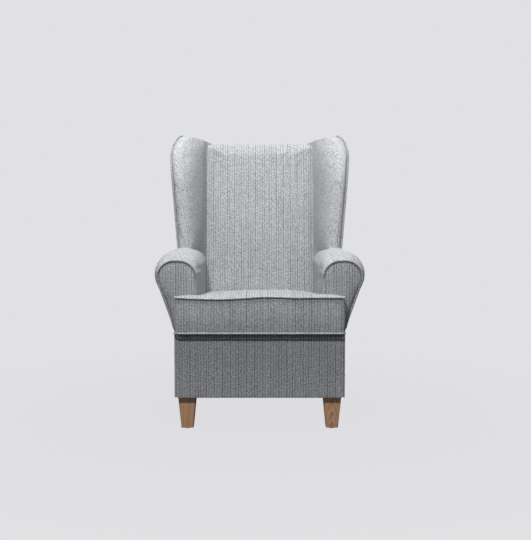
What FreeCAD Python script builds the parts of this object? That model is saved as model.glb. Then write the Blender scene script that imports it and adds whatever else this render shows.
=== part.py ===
"""Wingback armchair with rolled arms, a loose T-shaped seat cushion and four tapered wooden legs.

Units are millimetres and degrees. X runs across the chair, Y from front to back, Z up. Every shape is drawn
with y as the depth behind the front of the cushion, and its placement then moves it back so that the origin
is on the floor, in the middle of the chair.
"""
import FreeCAD, Part

import math
import os

import Sketcher

V = FreeCAD.Vector
doc = FreeCAD.newDocument("WingbackArmchair")

# Driving dimensions

SIZES = [
    ("overall_width", 792),
    ("arm_width", 170),
    ("arm_overhang", 89),
    ("base_height", 231),
    ("base_depth", 650),
    ("leg_height", 121),
    ("leg_top_width", 66),
    ("leg_foot_width", 44),
    ("leg_edge_radius", 5),
    ("leg_side_inset", 10),
    ("leg_front_inset", 20),
    ("rear_leg_inset", 45),
    ("rear_leg_rake", 45),
    ("leg_bolt_diameter", 8),
    ("leg_bolt_length", 82),
    ("leg_bolt_grip", 34),
    ("nut_flange_diameter", 22),
    ("nut_flange_thickness", 2),
    ("nut_barrel_diameter", 11),
    ("nut_barrel_length", 12),
    ("glide_diameter", 24),
    ("glide_height", 4),
    ("glide_pin_diameter", 3),
    ("glide_pin_length", 14),
    ("cloth", 2),
    ("board", 25),
    ("panel", 18),
    ("block_leg", 92),
    ("block_height", 50),
    ("lower_rail_height", 50),
    ("spring_rail_height", 100),
    ("dust_cloth", 1),
    ("staple_count", 7),
    ("staple_width", 10),
    ("staple_wire", 0.7),
    ("seat_pitch", 4),
    ("spring_wire", 4),
    ("spring_width", 56),
    ("spring_loops", 21),
    ("spring_count", 5),
    ("spring_margin", 80),
    ("clip_thickness", 1.2),
    ("clip_width", 18),
    ("clip_length", 20),
    ("felt", 5),
    ("deck_foam_thickness", 22),
    ("cushion_overhang", 25),
    ("cushion_front_margin", 3),
    ("cushion_ear_depth", 104),
    ("cushion_seat_margin", 9.5),
    ("cushion_depth", 523),
    ("cushion_height", 129),
    ("cushion_crown", 20),
    ("cushion_sole", 4),
    ("cushion_clearance", 0.5),
    ("cushion_corner", 16),
    ("welt_diameter", 7),
    ("zip_length", 380),
    ("zip_tape_width", 26),
    ("zip_tape_thickness", 0.8),
    ("zip_coil_width", 5),
    ("zip_coil_height", 2),
    ("slider_length", 14),
    ("slider_width", 10),
    ("slider_wall", 1.2),
    ("slider_clearance", 0.3),
    ("arm_setback", 130),
    ("arm_height", 643),
    ("arm_inner_radius", 50),
    ("arm_outer_radius", 87),
    ("arm_slope", 25),
    ("arm_flare_radius", 405),
    ("arm_front_drop", 30),
    ("arm_front_tuck", 15),
    ("arm_front_inner_tuck", 6),
    ("arm_front_inner_radius", 65),
    ("arm_front_outer_radius", 64),
    ("arm_front_slope", 20),
    ("arm_swell", 95),
    ("arm_taper", 40),
    ("arm_foam_thickness", 22),
    ("arm_joint_drop", 140),
    ("arm_front_padding", 8),
    ("arm_rail_width", 84),
    ("tack_rail_height", 50),
    ("tack_rail_level", 290),
    ("back_reach", 553),
    ("back_level", 440),
    ("back_rake", 10),
    ("back_thickness", 136),
    ("back_overlap", 3),
    ("back_height", 1068),
    ("back_crown", 14),
    ("back_top_radius", 30),
    ("back_foam_thickness", 66),
    ("back_top_tuck", 13),
    ("post_depth", 60),
    ("top_rail_height", 70),
    ("back_rail_height", 60),
    ("webbing_count", 8),
    ("webbing_width", 50),
    ("webbing_thickness", 2),
    ("wing_rise", 27),
    ("wing_low_reach", 350),
    ("wing_high_reach", 428),
    ("wing_low_tuck", 76),
    ("wing_high_tuck", 43),
    ("wing_thickness", 54),
    ("wing_top_sweep", 155),
    ("wing_top_tuck", 40),
    ("wing_board", 16),
    ("wing_welt_gap", 0.5),
    ("wing_welt_steps", 24),
    ("gap", 0.3),
]

# Dimensions worked out from the driving ones

LAYOUT = [
    ("body_width", "Sizes.overall_width - 2 * Sizes.arm_overhang"),
    ("seat_width", "Sizes.overall_width - 2 * Sizes.arm_width"),
    ("cushion_front_width", "Layout.body_width - 2 * Sizes.cushion_front_margin"),
    ("cushion_seat_width", "Layout.seat_width - 2 * Sizes.cushion_seat_margin"),
    ("back_width", "Layout.seat_width + 2 * Sizes.back_overlap"),
    ("back_top_width", "Layout.body_width - 2 * Sizes.back_top_tuck"),
    ("wing_height", "Sizes.back_height + Sizes.wing_rise"),
    ("wing_low_width", "Sizes.overall_width - 2 * Sizes.wing_low_tuck"),
    ("wing_high_width", "Sizes.overall_width - 2 * Sizes.wing_high_tuck"),
    ("half_body", "Layout.body_width / 2"),
    ("half_frame", "Layout.body_width / 2 - Sizes.cloth"),
    ("half_between_rails", "Layout.body_width / 2 - Sizes.cloth - Sizes.board"),
    ("half_between_posts", "Layout.body_width / 2 - Sizes.cloth - 2 * Sizes.board"),
    ("half_seat", "Layout.seat_width / 2"),
    ("frame_bottom", "Sizes.leg_height + Sizes.cloth"),
    ("deck_level", "Sizes.leg_height + Sizes.base_height"),
    ("apron_face", "Sizes.cushion_overhang"),
    ("rail_face", "Sizes.cushion_overhang + Sizes.cloth"),
    ("rail_back", "Sizes.cushion_overhang + Sizes.cloth + Sizes.board"),
    ("base_back", "Sizes.cushion_overhang + Sizes.base_depth"),
    ("frame_back", "Sizes.cushion_overhang + Sizes.base_depth - Sizes.cloth"),
    ("post_front", "Sizes.cushion_overhang + Sizes.base_depth - Sizes.cloth - Sizes.post_depth"),
    ("rake_run", "tan(Sizes.back_rake)"),
    ("rake_cos", "cos(Sizes.back_rake)"),
    ("rear_face_start", "Sizes.back_reach + Sizes.back_thickness / cos(Sizes.back_rake)"
     " - Sizes.back_level * tan(Sizes.back_rake)"),
    ("post_rear_start", "Sizes.back_reach + (Sizes.back_thickness - Sizes.cloth) / cos(Sizes.back_rake)"
     " - Sizes.back_level * tan(Sizes.back_rake)"),
    ("post_front_start", "Sizes.back_reach + (Sizes.back_thickness - Sizes.cloth - Sizes.post_depth)"
     " / cos(Sizes.back_rake) - Sizes.back_level * tan(Sizes.back_rake)"),
    ("rear_kink", "(Sizes.cushion_overhang + Sizes.base_depth - Sizes.back_reach"
     " - Sizes.back_thickness / cos(Sizes.back_rake)) / tan(Sizes.back_rake) + Sizes.back_level"),
    ("rail_top", "Sizes.leg_height + Sizes.base_height - 2 - (Sizes.cloth + Sizes.deck_foam_thickness"
     " + Sizes.felt + Sizes.spring_wire) - Sizes.clip_thickness"),
    ("side_rail_top", "Layout.rail_top - (Sizes.arm_setback - Sizes.cushion_overhang) * tan(Sizes.seat_pitch)"),
    ("spring_rail_face", "Sizes.cushion_overhang + Sizes.base_depth - 2 * Sizes.cloth - 2 * Sizes.board"),
    ("spring_rail_top", "Sizes.leg_height + Sizes.base_height - 1 - (Sizes.cloth + Sizes.deck_foam_thickness"
     " + Sizes.felt + Sizes.spring_wire) / cos(Sizes.seat_pitch) - Sizes.clip_thickness"
     " - (Sizes.base_depth - 2 * Sizes.cloth - Sizes.board) * tan(Sizes.seat_pitch)"),
    ("leg_x", "Layout.body_width / 2 - Sizes.leg_side_inset - Sizes.leg_top_width / 2"),
    ("front_leg_y", "Sizes.cushion_overhang + Sizes.leg_front_inset + Sizes.leg_top_width / 2"),
    ("rear_leg_y", "Sizes.cushion_overhang + Sizes.base_depth - Sizes.rear_leg_inset"
     " - Sizes.leg_top_width / 2"),
    ("post_top", "Sizes.back_height - Sizes.cloth - Sizes.back_top_radius"),
    ("arm_rail_top", "Sizes.arm_height - Sizes.cloth - Sizes.arm_foam_thickness"),
    ("front_extent", "Sizes.cushion_overhang + (Sizes.cushion_clearance + Sizes.cushion_sole)"
     " * sin(Sizes.seat_pitch) - (Sizes.cushion_overhang + Sizes.welt_diameter + Sizes.gap)"
     " * cos(Sizes.seat_pitch)"),
    ("rear_extent", "Sizes.back_reach + Sizes.back_thickness / cos(Sizes.back_rake)"
     " + (Sizes.back_height - Sizes.back_level) * tan(Sizes.back_rake)"),
    ("origin_depth", "(Layout.front_extent + Layout.rear_extent) / 2"),
]


def make_sheet(name, rows):
    """A spreadsheet with one named cell per row."""
    sheet = doc.addObject("Spreadsheet::Sheet", name)
    for number, (alias, value) in enumerate(rows, start=1):
        text = value if isinstance(value, str) else str(value)
        sheet.set(f"A{number}", alias)
        sheet.set(f"B{number}", "=" + text if isinstance(value, str) else text)
        sheet.setAlias(f"B{number}", alias)
    doc.recompute()
    return sheet


sizes = make_sheet("Sizes", SIZES)
layout = make_sheet("Layout", LAYOUT)


def size(alias):
    """A driving dimension as a number."""
    return float(getattr(sizes, alias))


def place(alias):
    """A worked-out dimension as a number."""
    return float(getattr(layout, alias))


PARTS = []


def keep(piece):
    """Adds a finished piece to the chair."""
    piece.Label = piece.Name
    PARTS.append(piece)
    return piece


def origin_plane(body, role):
    """One of a body's own origin planes, found by its role."""
    return [f for f in body.Origin.OriginFeatures if f.Role == role][0]


def polygon_sketch(body, name, role, corners, offset="0"):
    """A closed polygon on an origin plane, with every corner tied to an expression."""
    sketch = body.newObject("Sketcher::SketchObject", name)
    sketch.AttachmentSupport = [(origin_plane(body, role), "")]
    sketch.MapMode = "FlatFace"
    sketch.setExpression(".AttachmentOffset.Base.z", offset)
    count = len(corners)
    start = [V(math.cos(2 * math.pi * i / count), math.sin(2 * math.pi * i / count), 0) for i in range(count)]
    for i in range(count):
        sketch.addGeometry(Part.LineSegment(start[i], start[(i + 1) % count]), False)
    for i in range(count):
        sketch.addConstraint(Sketcher.Constraint("Coincident", i, 2, (i + 1) % count, 1))
    for i, (across, up) in enumerate(corners):
        for kind, text, value in (("DistanceX", across, start[i].x), ("DistanceY", up, start[i].y)):
            number = sketch.addConstraint(Sketcher.Constraint(kind, -1, 1, i, 1, value))
            sketch.setExpression(f"Constraints[{number}]", text)
    return sketch


def board_piece(name, role, corners, thickness, offset="0", turned=False):
    """A board of one thickness, sawn to a polygon on an origin plane."""
    body = doc.addObject("PartDesign::Body", name)
    sketch = polygon_sketch(body, name + "_outline", role, corners, offset)
    pad = body.newObject("PartDesign::Pad", name + "_pad")
    pad.Profile = sketch
    pad.Reversed = turned
    pad.setExpression("Length", thickness)
    body.setExpression(".Placement.Base.y", "-Layout.origin_depth")
    return keep(body)


def box_piece(name, length, width, height, x, y, z):
    """A square-cut rail whose lowest corner is at x, y, z."""
    rail = doc.addObject("Part::Box", name)
    for prop, text in (("Length", length), ("Width", width), ("Height", height)):
        rail.setExpression(prop, text)
    for axis, text in (("x", x), ("y", f"{y} - Layout.origin_depth"), ("z", z)):
        rail.setExpression(f".Placement.Base.{axis}", text)
    return keep(rail)


def shape_piece(name, shape):
    """A piece whose shape is built by its own function."""
    feature = doc.addObject("Part::Feature", name)
    placed = shape.Placement
    feature.Shape = shape
    feature.Placement = FreeCAD.Placement(V(0, -place("origin_depth"), 0), FreeCAD.Rotation()) * placed
    return keep(feature)


def mirrored(shape):
    """The same shape on the other side of the chair."""
    return shape.mirror(V(0, 0, 0), V(1, 0, 0))


def pair(name, shape):
    """A left and a right piece. Left is the chair's left as one faces it, at negative x."""
    shape_piece("right_" + name, shape)
    shape_piece("left_" + name, mirrored(shape))


def twins(name, shape):
    """One piece that holds a shape and its mirror image."""
    shape_piece(name, Part.makeCompound(shape.Solids + mirrored(shape).Solids))


def block(x0, x1, y0, y1, z0, z1):
    """A plain block between two corners."""
    return Part.makeBox(x1 - x0, y1 - y0, z1 - z0, V(x0, y0, z0))


def prism_across(points, x0, x1):
    """A solid with a side-view outline of (y, z) points, from x0 to x1."""
    wire = Part.makePolygon([V(x0, y, z) for y, z in points + points[:1]])
    return Part.Face(wire).extrude(V(x1 - x0, 0, 0))


def prism_up(points, z0, z1):
    """A solid with a plan outline of (x, y) points, from z0 to z1."""
    wire = Part.makePolygon([V(x, y, z0) for x, y in points + points[:1]])
    return Part.Face(wire).extrude(V(0, 0, z1 - z0))


def blend(low, high, share):
    """A value between two others."""
    return low + (high - low) * share


# Base frame of sawn boards

def make_base_frame():
    box_piece("front_rail", "2 * Layout.half_frame", "Sizes.board", "Layout.rail_top - Layout.frame_bottom",
              "-Layout.half_frame", "Layout.rail_face", "Layout.frame_bottom")
    for side, x in (("left", "-Layout.half_frame"), ("right", "Layout.half_between_rails")):
        box_piece(side + "_side_rail", "Sizes.board", "Layout.frame_back - Layout.rail_back",
                  "Layout.side_rail_top - Layout.frame_bottom", x, "Layout.rail_back", "Layout.frame_bottom")
    box_piece("rear_lower_rail", "2 * Layout.half_between_posts", "Sizes.board", "Sizes.lower_rail_height",
              "-Layout.half_between_posts", "Layout.frame_back - Sizes.board", "Layout.frame_bottom")
    box_piece("rear_spring_rail", "2 * Layout.half_between_posts", "Sizes.board", "Sizes.spring_rail_height",
              "-Layout.half_between_posts", "Layout.frame_back - Sizes.board",
              "Layout.spring_rail_top - Sizes.spring_rail_height")


def corner_block(x, y, toward_x, toward_y, leg_x, leg_y):
    """A triangular corner block with a hole for the leg's tee nut."""
    reach = size("block_leg")
    low = place("frame_bottom")
    top = low + size("block_height")
    solid = prism_up([(x, y), (x + toward_x * reach, y), (x, y + toward_y * reach)], low, top)
    hole = Part.makeCylinder(size("leg_bolt_diameter") / 2 + size("gap"), top - low, V(leg_x, leg_y, low))
    barrel = Part.makeCylinder(size("nut_barrel_diameter") / 2 + size("gap"), size("nut_barrel_length"),
                               V(leg_x, leg_y, top - size("nut_barrel_length")))
    return solid.cut(hole.fuse(barrel))


def leg_positions():
    """Name, x, y and rake of each leg."""
    x = place("leg_x")
    return [
        ("front_left", -x, place("front_leg_y"), 0.0),
        ("front_right", x, place("front_leg_y"), 0.0),
        ("rear_left", -x, place("rear_leg_y"), size("rear_leg_rake")),
        ("rear_right", x, place("rear_leg_y"), size("rear_leg_rake")),
    ]


def make_corner_blocks():
    blocks = []
    for name, x, y, rake in leg_positions():
        inward = 1 if x < 0 else -1
        corner_x = -inward * place("half_between_rails")
        if rake:
            blocks.append(corner_block(corner_x, place("post_front"), inward, -1, x, y))
        else:
            blocks.append(corner_block(corner_x, place("rail_back"), inward, 1, x, y))
    shape_piece("corner_blocks", Part.makeCompound(blocks))


# Tapered legs with their bolts, nuts and glides

def leg_solid(x, y, rake):
    """A square leg, tapered to its foot, with a pilot hole for the bolt and one for the glide's pin."""
    body_top = place("frame_bottom")
    foot = size("glide_height")
    wires = []
    for z, width, shift in ((foot, size("leg_foot_width"), rake), (body_top, size("leg_top_width"), 0.0)):
        h = width / 2
        r = size("leg_edge_radius")
        middle = V(x, y + shift, z)
        edges = []
        for turn in range(4):
            a = math.radians(90 * turn)
            along = V(math.cos(a), math.sin(a), 0)
            out = V(math.sin(a), -math.cos(a), 0)
            corner = middle + along * h + out * h
            centre = corner - along * r - out * r
            edges.append(Part.LineSegment(middle - along * (h - r) + out * h, centre + out * r).toShape())
            edges.append(Part.Arc(centre + out * r, centre + (along + out) * (r / math.sqrt(2)),
                                  centre + along * r).toShape())
        wires.append(Part.Wire(edges))
    solid = Part.makeLoft(wires, True, True)
    grip = size("leg_bolt_grip")
    clear = size("gap")
    bolt_hole = Part.makeCylinder(size("leg_bolt_diameter") / 2 + clear, grip + clear, V(x, y, body_top - grip - clear))
    pin_hole = Part.makeCylinder(size("glide_pin_diameter") / 2 + clear, size("glide_pin_length") + clear,
                                 V(x, y + rake, foot))
    return solid.cut(bolt_hole).cut(pin_hole)


def make_legs():
    bolts = []
    nuts = []
    glides = []
    for name, x, y, rake in leg_positions():
        shape_piece(name + "_leg", leg_solid(x, y, rake))
        top = place("frame_bottom")
        bolts.append(Part.makeCylinder(size("leg_bolt_diameter") / 2, size("leg_bolt_length"),
                                       V(x, y, top - size("leg_bolt_grip"))))
        seat = place("frame_bottom") + size("block_height")
        flange = Part.makeCylinder(size("nut_flange_diameter") / 2, size("nut_flange_thickness"), V(x, y, seat))
        barrel = Part.makeCylinder(size("nut_barrel_diameter") / 2, size("nut_barrel_length"),
                                   V(x, y, seat - size("nut_barrel_length")))
        bore = Part.makeCylinder(size("leg_bolt_diameter") / 2 + size("gap") / 2,
                                 size("nut_barrel_length") + size("nut_flange_thickness"),
                                 V(x, y, seat - size("nut_barrel_length")))
        nuts.append(flange.fuse(barrel).cut(bore).removeSplitter())
        pad = Part.makeCone(size("glide_diameter") / 2 - 1, size("glide_diameter") / 2, size("glide_height"),
                            V(x, y + rake, 0))
        pin = Part.makeCylinder(size("glide_pin_diameter") / 2, size("glide_pin_length"),
                                V(x, y + rake, size("glide_height")))
        glides.append(pad.fuse(pin))
    shape_piece("leg_bolts", Part.makeCompound(bolts))
    shape_piece("leg_tee_nuts", Part.makeCompound(nuts))
    shape_piece("leg_glides", Part.makeCompound(glides))


# Back posts and rails

def make_back_frame():
    corners = [
        ("Layout.frame_back", "Layout.frame_bottom"),
        ("Layout.frame_back", "(Layout.frame_back - Layout.post_rear_start) / Layout.rake_run"),
        ("Layout.post_rear_start + Layout.post_top * Layout.rake_run", "Layout.post_top"),
        ("Layout.post_front_start + Layout.post_top * Layout.rake_run", "Layout.post_top"),
        ("Layout.post_front", "(Layout.post_front - Layout.post_front_start) / Layout.rake_run"),
        ("Layout.post_front", "Layout.frame_bottom"),
    ]
    board_piece("left_back_post", "YZ_Plane", corners, "Sizes.board", "-Layout.half_between_rails")
    board_piece("right_back_post", "YZ_Plane", corners, "Sizes.board", "Layout.half_between_posts")
    raked_rail("back_top_rail", "Layout.post_top - Sizes.top_rail_height", "Sizes.top_rail_height")
    raked_rail("back_lower_rail", "Layout.rear_kink + 10", "Sizes.back_rail_height")


def raked_rail(name, level, height):
    """A rail between the posts, flush with the middle of their front edges and raked like them."""
    front = "(Layout.post_front_start + Sizes.post_depth / 4)"
    level = f"({level})"
    top = f"({level} + {height})"
    corners = [
        (f"{front} + {level} * Layout.rake_run", level),
        (f"{front} + Sizes.board + {level} * Layout.rake_run", level),
        (f"{front} + Sizes.board + {top} * Layout.rake_run", top),
        (f"{front} + {top} * Layout.rake_run", top),
    ]
    board_piece(name, "YZ_Plane", corners, "2 * Layout.half_between_posts", "-Layout.half_between_posts")


# Planes and zones shared by the upholstery

def rear_face(z, inset=0.0):
    """Depth of the chair's rear face at a height, drawn in by an inset."""
    raked = place("rear_face_start") - inset / place("rake_cos") + z * place("rake_run")
    return max(place("base_back") - inset, raked)


def back_face(z):
    """Depth of the inside back's face at a height."""
    return size("back_reach") + (z - size("back_level")) * place("rake_run")


def behind(inset):
    """Everything behind the chair's rear face drawn in by an inset."""
    upright = place("base_back") - inset
    raked = place("rear_face_start") - inset / place("rake_cos")
    kink = (upright - raked) / place("rake_run")
    top = place("wing_height") + 200
    points = [(upright, -100), (upright, kink), (raked + top * place("rake_run"), top), (2000, top), (2000, -100)]
    return prism_across(points, -600, 600)


def post_form():
    """The solid of the right back post."""
    zone = behind(size("cloth") + size("post_depth")).cut(behind(size("cloth")))
    return zone.common(block(place("half_between_posts"), place("half_between_rails"), 0, 1000,
                             place("frame_bottom"), place("post_top")))


def lower_rail_form():
    """A block around the back's lower rail, as wide as the gap between the posts."""
    low = place("rear_kink") + 10
    high = low + size("back_rail_height")
    front = place("post_front_start") + size("post_depth") / 4
    run = place("rake_run")
    points = [(front + low * run, low), (front + size("board") + low * run, low),
              (front + size("board") + high * run, high), (front + high * run, high)]
    return prism_across(points, -place("half_between_posts"), place("half_between_posts"))


def back_webbing():
    """Strips of webbing stretched from post to post, across their front edges."""
    post_zone = behind(size("cloth") + size("post_depth"))
    sheet = behind(size("cloth") + size("post_depth") + size("webbing_thickness")).cut(post_zone)
    half_length = place("half_between_rails") - 10
    half_width = size("webbing_width") / 2
    low = place("rear_kink") + half_width
    high = place("post_top") - size("top_rail_height") / 2
    count = int(size("webbing_count"))
    strips = []
    for i in range(count):
        z = blend(low, high, i / (count - 1))
        strips += sheet.common(block(-half_length, half_length, 0, 2000, z - half_width, z + half_width)).Solids
    return Part.makeCompound(strips)


# Rolled arms

def arm_outline(y, inset, inner, top, spread, inner_radius, outer_radius, slope):
    """The arm's cross section across the chair, drawn in by an inset. Returns its edges in order."""
    side = place("half_body")
    flare = size("arm_flare_radius")
    bottom = size("leg_height")
    lean = math.radians(slope)
    out = V(math.cos(lean), 0, -math.sin(lean))
    inner_centre = V(inner + inner_radius, y, top - inner_radius)
    outer_centre = V(spread - outer_radius, y, top - outer_radius)
    run = math.cos(lean) * (side + flare - outer_centre.x) - outer_radius - flare
    flare_centre = V(side + flare, y, outer_centre.z + run / math.sin(lean))
    middle = (math.pi / 2 - lean) / 2
    start = V(inner + inset, y, bottom)
    rise = V(inner + inset, y, inner_centre.z)
    crest = V(inner_centre.x, y, top - inset)
    shoulder = V(outer_centre.x, y, top - inset)
    roll_end = outer_centre + out * (outer_radius - inset)
    flare_start = flare_centre - out * (flare + inset)
    side_top = V(side - inset, y, flare_centre.z)
    side_bottom = V(side - inset, y, bottom)
    inner_bend = inner_centre + V(-math.sqrt(0.5), 0, math.sqrt(0.5)) * (inner_radius - inset)
    roll_bend = outer_centre + V(math.cos(middle), 0, math.sin(middle)) * (outer_radius - inset)
    flare_bend = flare_centre - V(math.cos(lean / 2), 0, -math.sin(lean / 2)) * (flare + inset)
    return [
        Part.LineSegment(start, rise).toShape(),
        Part.Arc(rise, inner_bend, crest).toShape(),
        Part.LineSegment(crest, shoulder).toShape(),
        Part.Arc(shoulder, roll_bend, roll_end).toShape(),
        Part.LineSegment(roll_end, flare_start).toShape(),
        Part.Arc(flare_start, flare_bend, side_top).toShape(),
        Part.LineSegment(side_top, side_bottom).toShape(),
        Part.LineSegment(side_bottom, start).toShape(),
    ]


def arm_front_values():
    """Inner face, top, spread, radii and slope of the arm at its front end."""
    return [
        place("seat_width") / 2 + size("arm_front_inner_tuck"),
        size("arm_height") - size("arm_front_drop"),
        size("overall_width") / 2 - size("arm_front_tuck"),
        size("arm_front_inner_radius"),
        size("arm_front_outer_radius"),
        size("arm_front_slope"),
    ]


def arm_full_values():
    """The same values where the arm is at its fullest."""
    return [
        place("seat_width") / 2,
        size("arm_height"),
        size("overall_width") / 2,
        size("arm_inner_radius"),
        size("arm_outer_radius"),
        size("arm_slope"),
    ]


def arm_form(inset):
    """The solid of the right arm, drawn in by an inset on all sides but the ends and the bottom."""
    front = arm_front_values()
    full = arm_full_values()
    rear = list(full)
    rear[2] -= size("arm_taper")
    rear[4] -= size("arm_taper") / 3
    setback = size("arm_setback")
    wires = []
    for share in (0.0, 0.1, 0.3, 0.6, 1.0):
        fullness = 1 - (1 - share) ** 2
        values = [a + (b - a) * fullness for a, b in zip(front, full)]
        wires.append(Part.Wire(arm_outline(setback + size("arm_swell") * share, inset, *values)))
    wires.append(Part.Wire(arm_outline(rear_face(size("arm_height")) + 30, inset, *rear)))
    return Part.makeLoft(wires, True, True)


def pipe(edges, centre, direction, radius):
    """A round cord swept along joined edges."""
    ring = Part.Wire([Part.makeCircle(radius, centre, direction)])
    return Part.Wire(edges).makePipeShell([ring], True, False)


def make_arms():
    cloth = size("cloth")
    setback = size("arm_setback")
    padding = size("arm_front_padding")
    panel = size("panel")
    foam_depth = cloth + size("arm_foam_thickness")
    tack = size("tack_rail_level")
    rail_top = place("side_rail_top")
    outer = arm_form(0)
    inner = arm_form(cloth)
    core = arm_form(foam_depth)
    rear = behind(cloth)
    post_zone = behind(cloth + size("post_depth"))
    joint = size("arm_height") - size("arm_joint_drop")
    outer_zone = block(place("half_between_rails") - 15, 700, 0, 1000, 0, joint)
    shell = outer.cut(inner)
    front_panel = outer.common(block(0, 700, setback, setback + cloth, rail_top, 1000))
    pair("arm_front_panel", front_panel)
    cover = shell.cut(outer_zone).common(block(0, 700, setback + cloth, 1000, tack, 1000)).cut(rear)
    webbing = back_webbing()
    pair("arm_cover", cover.cut(webbing).cut(post_form()).cut(lower_rail_form()))
    side_front = block(place("half_frame"), place("half_body"), place("rail_face"), setback,
                       size("leg_height"), place("deck_level"))
    side = shell.common(outer_zone).cut(front_panel).cut(rear).fuse(side_front.cut(above_deck(0)))
    pair("side_panel", side.removeSplitter())
    start = setback + cloth
    twins("arm_front_pads", inner.common(block(0, 700, start, start + padding, rail_top, 1000)))
    start += padding
    foam = inner.cut(core).cut(outer_zone).common(block(0, 700, start, 1000, tack, 1000)).cut(post_zone)
    face = place("seat_width") / 2 + foam_depth
    tack_rail = block(face, face + size("board"), start + panel, place("post_front"), tack,
                      tack + size("tack_rail_height"))
    foam = foam.cut(webbing).cut(tack_rail)
    pair("arm_foam", foam)
    board = inner.common(block(0, 700, start, start + panel, rail_top, 1000)).cut(foam)
    twins("arm_front_boards", board)
    start += panel
    rail_zone = block(0, face + size("board") + size("arm_rail_width"), start, 1000,
                      place("arm_rail_top") - size("board"), place("arm_rail_top") + 1)
    twins("arm_top_rails", core.common(rail_zone).cut(post_zone).cut(webbing))
    twins("arm_tack_rails", tack_rail)
    radius = size("welt_diameter") / 2
    edges = arm_outline(setback - radius, radius, *arm_front_values())
    low = V(edges[0].Vertexes[0].Point.x, setback - radius, place("deck_level") + size("gap"))
    first = Part.LineSegment(low, edges[0].Vertexes[1].Point).toShape()
    welt = pipe([first] + edges[1:6], low, V(0, 0, 1), radius)
    pair("arm_front_welt", welt.cut(block(0, 700, 0, 1000, 0, low.z)))


# Pitched seat layers

def deck_layer(points, low, high):
    """A layer of the deck, between two levels measured square to its pitched surface."""
    layer = prism_up(points, low, high)
    layer.rotate(V(0, 0, 0), V(1, 0, 0), -size("seat_pitch"))
    layer.translate(V(0, place("apron_face"), place("deck_level")))
    return layer


def above_deck(low):
    """Everything higher than a level measured square to the deck's surface."""
    return deck_layer([(-600, -100), (600, -100), (600, 900), (-600, 900)], low, 1200)


# Wings

def wing_share(z):
    """Height between the arm's top and the wing's peak, as a share."""
    return (z - size("arm_height")) / (place("wing_height") - size("arm_height"))


def rounding(share, start):
    """Zero up to a start, then a quarter circle up to one."""
    run = min(1.0, max(0.0, (share - start) / (1 - start)))
    return 1 - math.sqrt(1 - run * run)


def wing_plan(z, inset):
    """Key points of the wing's outline at one height, drawn in by an inset."""
    share = wing_share(z)
    radius = size("wing_thickness") / 2
    reach = blend(size("wing_low_reach"), size("wing_high_reach"), share)
    reach += size("wing_top_sweep") * rounding(share, 0.55)
    width = blend(place("wing_low_width"), place("wing_high_width"), min(1.0, share / 0.8)) / 2
    width -= size("wing_top_tuck") * rounding(share, 0.8)
    rear_width = blend(place("half_body"), place("back_top_width") / 2, share)
    nose = V(width - radius, reach + radius, z)
    joint = V(place("back_width") / 2, back_face(z), z)
    rear = V(min(rear_width, width), rear_face(z), z)
    directions = []
    for point, turn in ((rear, -1), (joint, 1)):
        span = point - nose
        angle = math.atan2(span.y, span.x) + turn * math.acos(radius / span.Length)
        directions.append(V(math.cos(angle), math.sin(angle), 0))
    out, into = directions
    return {
        "nose": nose,
        "tip": nose + V(0, -(radius - inset), 0),
        "out": out,
        "into": into,
        "outer": nose + out * (radius - inset),
        "inner": nose + into * (radius - inset),
        "rear": rear - out * inset,
        "joint": joint - into * inset,
    }


def stretched(start, end, x=None, y=None):
    """The point where the line through two points reaches an x or a y."""
    span = end - start
    share = (x - start.x) / span.x if y is None else (y - start.y) / span.y
    return start + span * share


def wing_outline(z, inset):
    """The wing's outline at one height. An inset form runs past the joint with the back and the rear face."""
    plan = wing_plan(z, inset)
    overrun = 6 if inset > 0 else 0
    x = place("back_width") / 2 - overrun
    back = rear_face(z) + 20
    rear = stretched(plan["outer"], plan["rear"], y=back)
    joint = stretched(plan["inner"], plan["joint"], x=x)
    edges = [
        Part.LineSegment(V(x, back, z), rear).toShape(),
        Part.LineSegment(rear, plan["outer"]).toShape(),
        Part.Arc(plan["outer"], plan["tip"], plan["inner"]).toShape(),
        Part.LineSegment(plan["inner"], joint).toShape(),
        Part.LineSegment(joint, V(x, back, z)).toShape(),
    ]
    return Part.Wire(edges)


def wing_heights():
    """Heights of the wing's outlines, closer together towards the peak."""
    low = size("arm_height") - 100
    return [low] + [blend(size("arm_height"), place("wing_height"), share)
                    for share in (0.0, 0.15, 0.3, 0.45, 0.55, 0.65, 0.73, 0.8, 0.87, 0.93, 0.97, 0.995)]


def wing_top(inset):
    """Everything above the wing's sloping top, lowered by an inset."""
    peak = size("wing_low_reach") + (place("wing_height") - size("arm_height")) / 2
    tail = rear_face(size("back_height"))
    points = [(0, place("wing_height") - inset), (peak, place("wing_height") - inset),
              (tail, size("back_height") - inset), (2000, size("back_height") - inset), (2000, 2000), (0, 2000)]
    return prism_across(points, -600, 600)


def wing_form(inset):
    """The solid of the right wing, drawn in by an inset."""
    form = Part.makeLoft([wing_outline(z, inset) for z in wing_heights()], True, True)
    return form.cut(wing_top(inset))


def wing_slab(depth, thickness, front, tail_x=None):
    """A sheet along the wing's outer side, from a depth inwards, starting a little behind its nose."""
    wires = []
    for z in wing_heights():
        outer = wing_plan(z, depth)
        inner = wing_plan(z, depth + thickness)
        back = rear_face(z) + 20
        points = []
        for plan in (outer, inner):
            rear = stretched(plan["outer"], plan["rear"], y=back)
            along = rear - plan["outer"]
            along.normalize()
            points += [plan["outer"] + along * front, rear]
        if tail_x is not None:
            points[3] = V(tail_x, back, z)
        wires.append(Part.makePolygon([points[0], points[1], points[3], points[2], points[0]]))
    return Part.makeLoft(wires, True, True).cut(wing_top(depth))


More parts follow.
